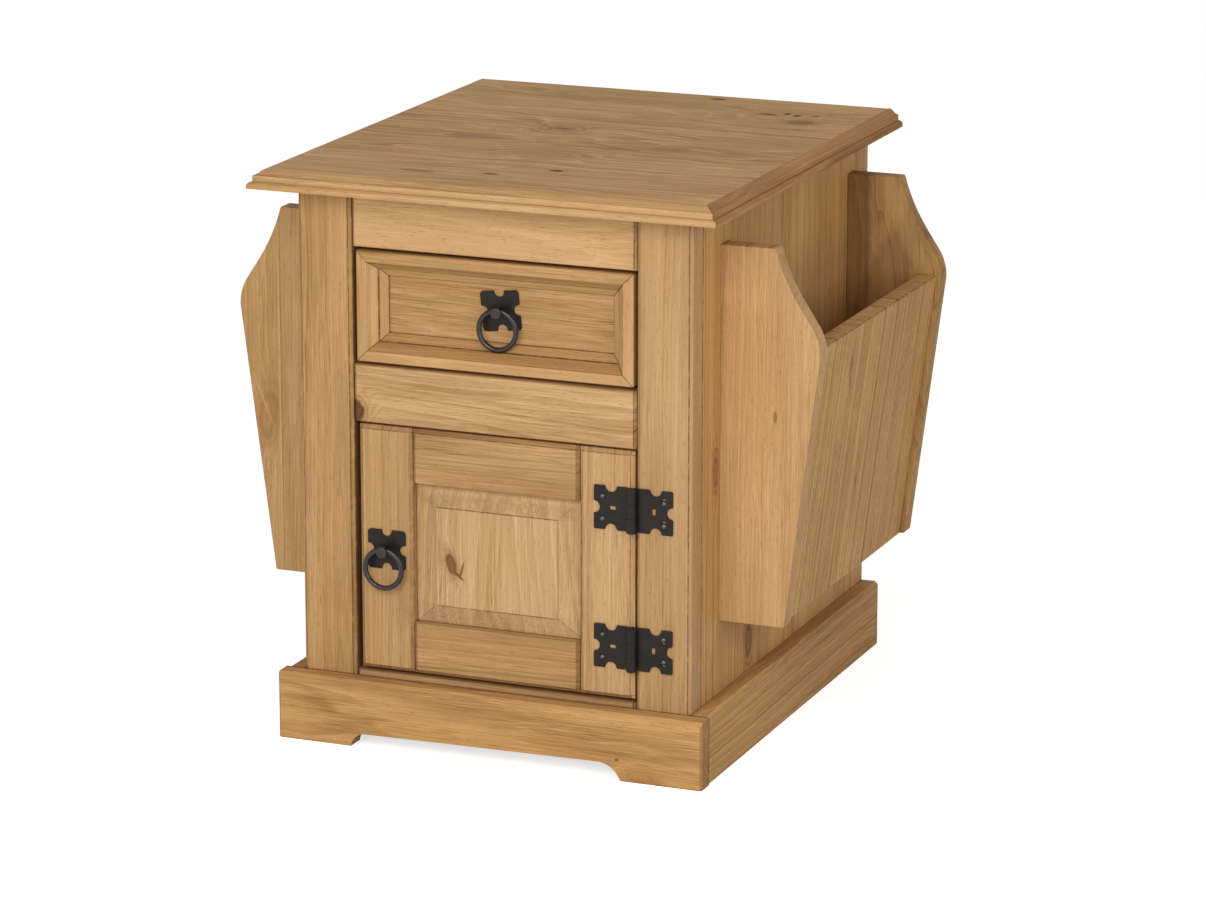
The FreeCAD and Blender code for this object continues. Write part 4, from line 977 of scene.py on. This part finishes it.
@dataclass
class MagazineRack:
    """One rack: two shaped ends, a sloping outer board and a floor.

    Attributes:
        side: The side that it hangs on.
        strip_mm: Width of the outer board's strips.
    """

    side: Side
    strip_mm: float = 82.0

    def prefix(self) -> str:
        """Gives the start of the names of the rack's nodes."""
        return "rack_" + self.side.name.lower() + "_"

    def marks(self) -> dict[str, tuple[Knot, ...]]:
        """Lists the marks of the rack's boards by the board's name."""
        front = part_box(self.prefix() + "front_end")[0].y * PER_METRE
        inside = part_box(self.prefix() + "back_end")[0].y * PER_METRE
        if self.side is Side.LEFT:
            return {"front_end": (
                Knot((-247.0, front, 270.0), 40.0, 16.0, 10.0, 0.35, 0.4, "#9A6E44", 10.0),
                Knot((-251.0, front, 282.0), 44.0, 2.6, 0.0, 0.3, 0.0, PALE_STREAK, -22.0),
                Knot((-235.0, front, 300.0), 330.0, 1.8, 0.0, 0.4, 0.0, PALE_STREAK),
            )}
        return {
            "front_end": (Knot((232.7, front, 312.9), 8.0, 2.5, 2.0, 0.5, 0.3, MARK_BROWN),),
            "back_end": (
                Knot((189.0, inside, 380.0), 420.0, 26.0, 0.0, 0.6, 0.0, HEART_STAIN),
                Knot((213.0, inside, 340.0), 160.0, 34.0, 6.0, 0.35, 0.0, HEART_STAIN, 20.0),
                Knot((236.0, inside, 420.0), 100.0, 16.0, 6.0, 0.2, 0.0, PALE_STREAK, -24.0),
                Knot((256.0, inside, 418.0), 40.0, 9.0, 14.0, 0.75, 0.5, BARK, -30.0),
            ),
            "outer_panel": (
                Knot((262.0, -36.0, 338.0), 16.0, 3.2, 6.0, 0.75, 0.4, KNOT_RED),
                Knot((260.0, -33.0, 322.0), 14.0, 2.4, 3.0, 0.65, 0.3, KNOT_RED, -25.0),
                Knot((246.0, 22.0, 222.0), 42.0, 9.0, 7.0, 0.2, 0.4, SWIRL),
                Knot((245.0, 24.0, 218.0), 9.0, 2.4, 2.0, 0.7, 0.3, KNOT_RED),
            ),
        }

    def glue_lines(self) -> tuple[Seam, ...]:
        """Gives the glue line that the left rack's front end shows."""
        if self.side is Side.LEFT:
            return (Seam((-233.4, 0.0, 0.0), (1.0, 0.0, 0.0), *GLUED_END_LINE),)
        return ()

    def boards(self) -> list[Board]:
        """Lists the rack's boards."""
        name = self.prefix()
        seed = 60 + 10 * self.side.value
        marks = self.marks()
        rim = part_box(name + "outer_panel")[1].z * PER_METRE - 1.0
        edge = Seam((0.0, 0.0, rim), (0.0, 0.0, 1.0), *RACK_RIM_LINE)
        return [
            Board(name + "front_end", Axis.Z, seed, "#C8A06F", ring_contrast=0.12, fibre=0.9, figure=0.7,
                  mottle=0.7, upward_shade=0.0, end_depth=0.9 if self.side is Side.LEFT else 0.0,
                  knots=marks.get("front_end", ()), seams=self.glue_lines()),
            Board(name + "back_end", Axis.Z, seed + 2, "#B48C5A", ring_mm=11.0, ring_contrast=0.4, figure=1.5,
                  mottle=1.5, sway_mm=110.0, lean=0.15, heart_mm=(-40.0, 15.0), upward_shade=0.0, end_depth=0.0,
                  knots=marks.get("back_end", ())),
            Board(name + "outer_panel", Axis.Z, seed + 3, "#C39862", strip_mm=self.strip_mm, ring_mm=7.0,
                  ring_contrast=0.35, spring_contrast=0.55, fibre=1.1, sway_mm=12.0, upward_shade=0.0, end_depth=0.0,
                  knots=marks.get("outer_panel", ()), seams=(edge,)),
            Board(name + "floor", Axis.Y, seed + 8),
        ]


@dataclass
class CupboardDoor:
    """The framed door with its raised panel, strike and catch.

    Attributes:
        catch_node: The catch on the carcass.
        strike_node: The strike on the door.
        edge_mm: Width of the worn chamfer on the frame's edges.
        bevel_mm: Width of the panel's bevels at its sides, its bottom and its top.
        bevel_shade_mm: How far from the panel's step the middle of the painted shade on the bevels lies.
        bevel_shade_spread: The width of that painted shade against this distance.
        groove_shade_mm: Place and width of the painted shade in the groove beside the panel, on the hinge
            stile.
        right_facing_shade: Width of the painted shade on a right-facing chamfer against the chamfer's own, and
            its strength.
        fade: How far lines round the field run, against half its size, so that they end at its corners.
        past: The same for lines that run on to the panel's corners.
    """

    catch_node: str = "catch_magnet"
    strike_node: str = "catch_strike"
    edge_mm: float = 3.3
    bevel_mm: Triple = (21.0, 18.0, 20.6)
    bevel_shade_mm: float = 6.0
    bevel_shade_spread: float = 2.6
    groove_shade_mm: Pair = (0.8, 2.2)
    right_facing_shade: Pair = (1.4, 0.3)
    fade: float = 1.15
    past: float = 1.2

    def boards(self) -> list[Board]:
        """Lists the door's boards with their marks."""
        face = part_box("door_panel")[0].y * PER_METRE
        knot = Knot((-41.0, face, 170.5), 17.0, 8.0, 13.0, 0.85, 0.5, KNOT_RED, -20.0)
        crack = Knot((-34.5, face, 161.0), 11.0, 2.0, 0.0, 0.9, 0.2, KNOT_BROWN, -50.0)
        branch = Knot((-31.0, face, 166.5), 12.0, 1.8, 0.0, 0.75, 0.2, KNOT_BROWN, 15.0)
        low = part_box("door_stile_pull")[0] * PER_METRE
        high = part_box("door_stile_hinge")[1] * PER_METRE
        left_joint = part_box("door_stile_pull")[1].x * PER_METRE
        right_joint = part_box("door_stile_hinge")[0].x * PER_METRE
        level = (1.0, 0.0, 0.0)
        left = Seam((left_joint, 0.0, 0.0), level, edge_share=0.2)
        right = Seam((right_joint, 0.0, 0.0), level, edge_share=0.2)
        edges = (Seam((0.0, 0.0, high.z - self.edge_mm), (0.0, 0.0, 1.0), *WORN_LINE),
                 Seam((0.0, 0.0, low.z + self.edge_mm), (0.0, 0.0, 1.0), *WORN_LINE),
                 Seam((low.x + self.edge_mm, 0.0, 0.0), level, *WORN_LINE),
                 Seam((high.x - self.edge_mm, 0.0, 0.0), level, *WORN_LINE))
        half = self.edge_mm / 2
        # Painted shade on the chamfers that face right.
        right_facing_shade = (self.edge_mm * self.right_facing_shade[0], self.right_facing_shade[1])
        left_shaded_chamfer = Seam((left_joint - half, 0.0, 0.0), level, *right_facing_shade)
        right_shaded_chamfer = Seam((right_joint - half, 0.0, 0.0), level, *right_facing_shade)
        left_line = Seam((left_joint + self.edge_mm, 0.0, 0.0), level, *FINE_LINE)
        right_line = Seam((right_joint + self.edge_mm, 0.0, 0.0), level, *FINE_LINE)
        rail = (left, right, left_line, right_shaded_chamfer)
        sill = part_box("door_rail_bottom")[1].z * PER_METRE
        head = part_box("door_rail_top")[0].z * PER_METRE
        side, bottom, top = self.bevel_mm
        # Painted shade: dark lines where the panel's bevels meet at its corners.
        corners = ((left_joint, sill, (bottom, 0.0, -side), 0.3),
                   (right_joint, head, (top, 0.0, -side), 0.25),
                   (right_joint, sill, (bottom, 0.0, side), 0.5))
        mitres = [Seam((x, face, z), normal, 1.0, depth, side * 1.5) for x, z, normal, depth in corners]
        middle = ((left_joint + right_joint) / 2, face, (sill + head) / 2)
        wide = (right_joint - left_joint) / 2
        tall = (head - sill) / 2
        upright = (0.0, 0.0, 1.0)
        field_tall = (tall - bottom) * self.fade
        field_wide = (wide - side) * self.fade
        # Painted shadow: lines along the step between the field and its bevels.
        field_step_shadows = [Seam((left_joint + side, face, middle[2]), level, 1.2, 0.5, field_tall),
                 Seam((right_joint - side, face, middle[2]), level, 1.0, 0.15, field_tall),
                 Seam((middle[0], face, sill + bottom), upright, 1.4, 0.7, field_wide),
                 Seam((middle[0], face, head - top), upright, 1.2, 0.4, field_wide)]
        # Painted shade on the bevels, darkest near the field's step.
        shade_inset = self.bevel_shade_mm
        spread = shade_inset * self.bevel_shade_spread
        long = tall * self.past
        broad = wide * self.past
        shaded_bevels = [Seam((left_joint + side - shade_inset, face, middle[2]), level, spread, 0.08, long),
                  Seam((right_joint - side + shade_inset, face, middle[2]), level, spread, 0.06, long),
                  Seam((middle[0], face, sill + bottom - shade_inset), upright, spread, 0.12, broad),
                  Seam((middle[0], face, head - top + shade_inset), upright, spread, 0.2, broad)]
        # Painted shade in the groove between the hinge stile and the panel.
        inward, width = self.groove_shade_mm
        groove_shade = Seam((right_joint + inward, face, middle[2]), level, width, 0.7, long)
        return [
            Board("door_stile_pull", Axis.Z, 81, "#C09769", upward_shade=0.0, seams=(left, left_shaded_chamfer, *edges)),
            Board("door_stile_hinge", Axis.Z, 82, "#C69F71", upward_shade=0.0,
                  seams=(right, right_line, groove_shade, *edges)),
            Board("door_rail_bottom", Axis.X, 83, "#B88F61", mottle=1.5, upward_shade=0.0, seams=(*rail, edges[1])),
            Board("door_rail_top", Axis.X, 84, "#BF9669", mottle=1.5, seams=(*rail, edges[0])),
            Board("door_panel", Axis.Z, 85, "#CFA97B", ring_mm=10.0, ring_contrast=0.15, spring_contrast=0.15,
                  mottle=0.7, sway_mm=30.0, lean=0.09, heart_mm=(25.0, 14.0), upward_shade=0.0,
                  knots=(knot, crack, branch), seams=(*mitres, *field_step_shadows, *shaded_bevels)),
        ]

    def dress_fittings(self, zinc: Material, plastic: Material) -> None:
        """Dresses the catch that holds the door shut.

        Args:
            zinc: The strike's finish.
            plastic: The catch's finish.
        """
        dress(self.strike_node, zinc)
        dress(self.catch_node, plastic)


@dataclass
class Drawer:
    """The drawer's mitred front and the box behind it.

    Attributes:
        tint: The panel's colour.
        frame_tint: The mouldings' colour.
        left_tint: The left-hand moulding's colour.
        shadow_lines: Place of each painted shadow line from the front's edge in millimetres, and its strength.
        arris_shade: The same for the painted shade on the arris, shown by the lower and right-hand mouldings
            only.
    """

    tint: str = "#B68E5F"
    frame_tint: str = "#C49C6B"
    left_tint: str = "#BE9667"
    shadow_lines: tuple[tuple[float, float], ...] = ((16.8, 0.75), (23.8, 0.5))
    arris_shade: Pair = (9.5, 0.3)

    def boards(self) -> list[Board]:
        """Lists the drawer's boards with their mitre lines."""
        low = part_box("drawer_moulding_bottom")[0] * PER_METRE
        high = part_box("drawer_moulding_top")[1] * PER_METRE
        rising = (1.0, 0.0, -1.0)
        falling = (1.0, 0.0, 1.0)
        low_left = Seam((low.x, 0.0, low.z), rising)
        low_right = Seam((high.x, 0.0, low.z), falling)
        high_left = Seam((low.x, 0.0, high.z), falling)
        high_right = Seam((high.x, 0.0, high.z), rising)
        upright = (0.0, 0.0, 1.0)
        level = (1.0, 0.0, 0.0)
        # Painted light: a pale streak that brightens the left moulding's slope.
        wear_and_painted_light = Knot((low.x, low.y + 6.0, (low.z + high.z) / 2), 110.0, 6.0, 0.0, 0.45, 0.0, PALE_STREAK)
        # Painted shadow lines in the mouldings' quirks, at the panel's edge and on the arris.
        lines = (*self.shadow_lines, self.arris_shade)
        bottom = [Seam((0.0, 0.0, low.z + inward), upright, SHADOW_LINE_MM, depth) for inward, depth in lines]
        top = [Seam((0.0, 0.0, high.z - inward), upright, SHADOW_LINE_MM, depth) for inward, depth in self.shadow_lines]
        left = [Seam((low.x + inward, 0.0, 0.0), level, SHADOW_LINE_MM, depth) for inward, depth in self.shadow_lines]
        right = [Seam((high.x - inward, 0.0, 0.0), level, SHADOW_LINE_MM, depth) for inward, depth in lines]
        return [
            Board("drawer_panel", Axis.X, 91, self.tint, fibre=1.5, figure=1.5, mottle=1.8, lean=0.04,
                  heart_mm=(20.0, 30.0)),
            Board("drawer_moulding_bottom", Axis.X, 92, self.frame_tint, mottle=1.5,
                  seams=(low_left, low_right, *bottom)),
            Board("drawer_moulding_top", Axis.X, 93, self.frame_tint, mottle=1.5,
                  seams=(high_left, high_right, *top)),
            Board("drawer_moulding_left", Axis.Z, 94, self.left_tint, knots=(wear_and_painted_light,),
                  seams=(low_left, high_left, *left)),
            Board("drawer_moulding_right", Axis.Z, 95, self.frame_tint,
                  seams=(low_right, high_right, *right)),
            Board("drawer_side_left", Axis.Y, 96),
            Board("drawer_side_right", Axis.Y, 97),
            Board("drawer_back", Axis.X, 98),
        ]


@dataclass
class Sheets:
    """The back panel and the drawer's bottom, cut from plywood with broad peeled grain.

    Attributes:
        ring_mm: Spacing of the figure that peeling gives.
    """

    ring_mm: float = 16.0

    def boards(self) -> list[Board]:
        """Lists the plywood sheets."""
        return [
            Board("back_panel", Axis.Z, 101, "#C8A579", ring_mm=self.ring_mm, ring_contrast=0.5,
                  heart_mm=(10.0, 40.0)),
            Board("drawer_bottom", Axis.X, 102, "#CBA97E", ring_mm=self.ring_mm, ring_contrast=0.5,
                  heart_mm=(20.0, 40.0)),
        ]


@dataclass
class RingPull:
    """One ring pull: plate, eye, ring and the nut behind.

    Attributes:
        owner: The piece that it opens.
    """

    owner: str

    def dress(self, iron: Material, wire: Material, zinc: Material) -> None:
        """Dresses the pull.

        Args:
            iron: The plate's finish.
            wire: The finish of the eye and the ring.
            zinc: The nut's finish.
        """
        dress(f"{self.owner}_pull_plate", iron)
        dress(f"{self.owner}_pull_eye", wire)
        dress(f"{self.owner}_pull_ring", wire)
        dress(f"{self.owner}_pull_nut", zinc)


@dataclass
class ButterflyHinges:
    """The door's two hinges with their pins and screws.

    Attributes:
        leaves: Ends of the names of the pressed pieces and the pins.
        screws: The same for the screws.
    """

    leaves: tuple[str, ...] = ("post_leaves", "door_leaves", "pins")
    screws: tuple[str, ...] = ("post_screws", "door_screws")

    def dress(self, iron: Material, screw: Material) -> None:
        """Dresses the hinges.

        Args:
            iron: The finish of the pressed leaves and the pins.
            screw: The finish of the screws.
        """
        for part in self.leaves:
            dress("hinge_" + part, iron)
        for part in self.screws:
            dress("hinge_" + part, screw)


@dataclass
class Studio:
    """White floor, soft lamps, world and camera.

    Attributes:
        floor_span: Width of the floor, in metres.
        floor_colour: Its colour.
        floor_lift: What is added to the floor for the camera and for reflections, so that it shows white.
        sky: Strength of the even light from all round.
        key: Strength of the front lamp's light on a board that faces it.
        fill: The same for the lamp at the right.
        lamp_distance: How far the lamps stand, in metres.
        lamp_span: Width of a lamp, in metres.
        key_direction: Where the front lamp stands.
        fill_direction: Where the right-hand lamp stands.
        camera_place: Where the camera stands, in metres.
        camera_turn: Its turn to the left and its tilt down, in degrees.
        lens_mm: Its focal length.
        sensor_mm: Width of its sensor.
    """

    floor_span: float = 16.0
    floor_colour: str = "#E6E6E6"
    floor_lift: float = 0.68
    sky: float = 0.4
    key: float = 0.42
    fill: float = 0.22
    lamp_distance: float = 2.6
    lamp_span: float = 1.3
    key_direction: Triple = (0.05, -0.9, 0.42)
    fill_direction: Triple = (0.75, -0.6, 0.3)
    camera_place: Triple = (1.572, -3.825, 1.316)
    camera_turn: Pair = (22.12, 14.78)
    lens_mm: float = 141.8
    sensor_mm: float = 36.0

    def build(self) -> None:
        """Builds the whole studio."""
        self.lay_floor()
        self.light_world()
        self.hang_lamp("key_lamp", self.key_direction, self.key)
        self.hang_lamp("fill_lamp", self.fill_direction, self.fill)
        self.set_camera()
        bpy.context.scene.view_settings.view_transform = "Standard"

    def seen_share(self, tree: Tree) -> Node:
        """Tells camera, mirror and glass rays from the rays that light the table.

        Args:
            tree: The tree that asks.

        Returns:
            1 for rays that show the background and 0 for the rest.
        """
        path = add_node(tree, "LightPath")
        seen = add_node(tree, "Math",
                        {0: path.outputs["Is Camera Ray"], 1: path.outputs["Is Glossy Ray"]},
                        operation="MAXIMUM")
        return add_node(tree, "Math", {0: seen, 1: path.outputs["Is Transmission Ray"]},
                        operation="MAXIMUM")

    def lay_floor(self) -> None:
        """Lays the pale floor, which shows white and keeps the table's soft shadow."""
        half = self.floor_span / 2
        mesh = bpy.data.meshes.new("studio_floor")
        mesh.from_pydata([(-half, -half, 0), (half, -half, 0), (half, half, 0), (-half, half, 0)], [],
                         [(0, 1, 2, 3)])
        floor = bpy.data.objects.new("studio_floor", mesh)
        bpy.context.scene.collection.objects.link(floor)
        material, tree, shader = new_material("matt_white_paper")
        shader.inputs["Base Color"].default_value = linear(self.floor_colour)
        shader.inputs["Roughness"].default_value = 1.0
        shader.inputs["Specular IOR Level"].default_value = 0.0
        lift = add_node(tree, "Math", {0: self.seen_share(tree), 1: self.floor_lift},
                        operation="MULTIPLY")
        glow = add_node(tree, "Emission", {"Strength": lift})
        both = add_node(tree, "AddShader", {0: shader, 1: glow})
        tree.links.new(both.outputs[0], tree.nodes["Material Output"].inputs["Surface"])
        mesh.materials.append(material)
        floor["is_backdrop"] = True

    def light_world(self) -> None:
        """Sets the even light round the table, white where it is seen."""
        world = bpy.data.worlds.new("studio_world")
        world.use_nodes = True
        bpy.context.scene.world = world
        tree = world.node_tree
        level = add_node(tree, "MapRange",
                         {"Value": self.seen_share(tree), "To Min": self.sky, "To Max": 1.0})
        background = tree.nodes["Background"]
        background.inputs["Color"].default_value = (1.0, 1.0, 1.0, 1.0)
        tree.links.new(level.outputs[0], background.inputs["Strength"])

    def hang_lamp(self, name: str, direction: Triple, level: float) -> None:
        """Hangs a square soft lamp that looks at the middle of the table.

        Args:
            name: The lamp's name.
            direction: Where it stands, seen from the table.
            level: The light that it gives a board facing it, where 1 shows a colour as it is written.
        """
        low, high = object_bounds()
        middle = (low + high) / 2
        toward = Vector(direction).normalized()
        light = bpy.data.lights.new(name, "AREA")
        light.size = self.lamp_span
        light.energy = level * math.pi ** 2 * self.lamp_distance ** 2
        lamp = bpy.data.objects.new(name, light)
        lamp.location = middle + toward * self.lamp_distance
        lamp.rotation_euler = toward.to_track_quat("Z", "Y").to_euler()
        bpy.context.scene.collection.objects.link(lamp)

    def set_camera(self) -> None:
        """Sets the camera at the photograph's angle."""
        data = bpy.data.cameras.new("studio_camera")
        data.lens = self.lens_mm
        data.sensor_width = self.sensor_mm
        data.sensor_fit = "HORIZONTAL"
        camera = bpy.data.objects.new("studio_camera", data)
        turn, tilt = self.camera_turn
        camera.location = self.camera_place
        camera.rotation_euler = (math.radians(90 - tilt), 0.0, math.radians(turn))
        bpy.context.scene.collection.objects.link(camera)
        bpy.context.scene.camera = camera


def main() -> None:
    """Builds the table's classes in order."""
    logging.basicConfig(level=logging.INFO, format="%(message)s")
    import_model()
    door = CupboardDoor()
    racks = [MagazineRack(side) for side in Side]
    wooden = [TableTop(), Carcass(), Plinth(), *racks, door, Drawer()]
    for part in wooden:
        for board in part.boards():
            dress(board.node, PineShader(PINE, board).build())
    for sheet in Sheets().boards():
        dress(sheet.node, PineShader(PLYWOOD, sheet).build())
    iron = BLACK_IRON.build()
    wire = BLACK_WIRE.build()
    zinc = ZINC_STEEL.build()
    door.dress_fittings(zinc, CATCH_PLASTIC.build())
    for owner in ("door", "drawer"):
        RingPull(owner).dress(iron, wire, zinc)
    ButterflyHinges().dress(iron, BLACK_SCREW.build())
    dress("carcass_screws", zinc)
    Studio().build()


if __name__ == "__main__":
    main()
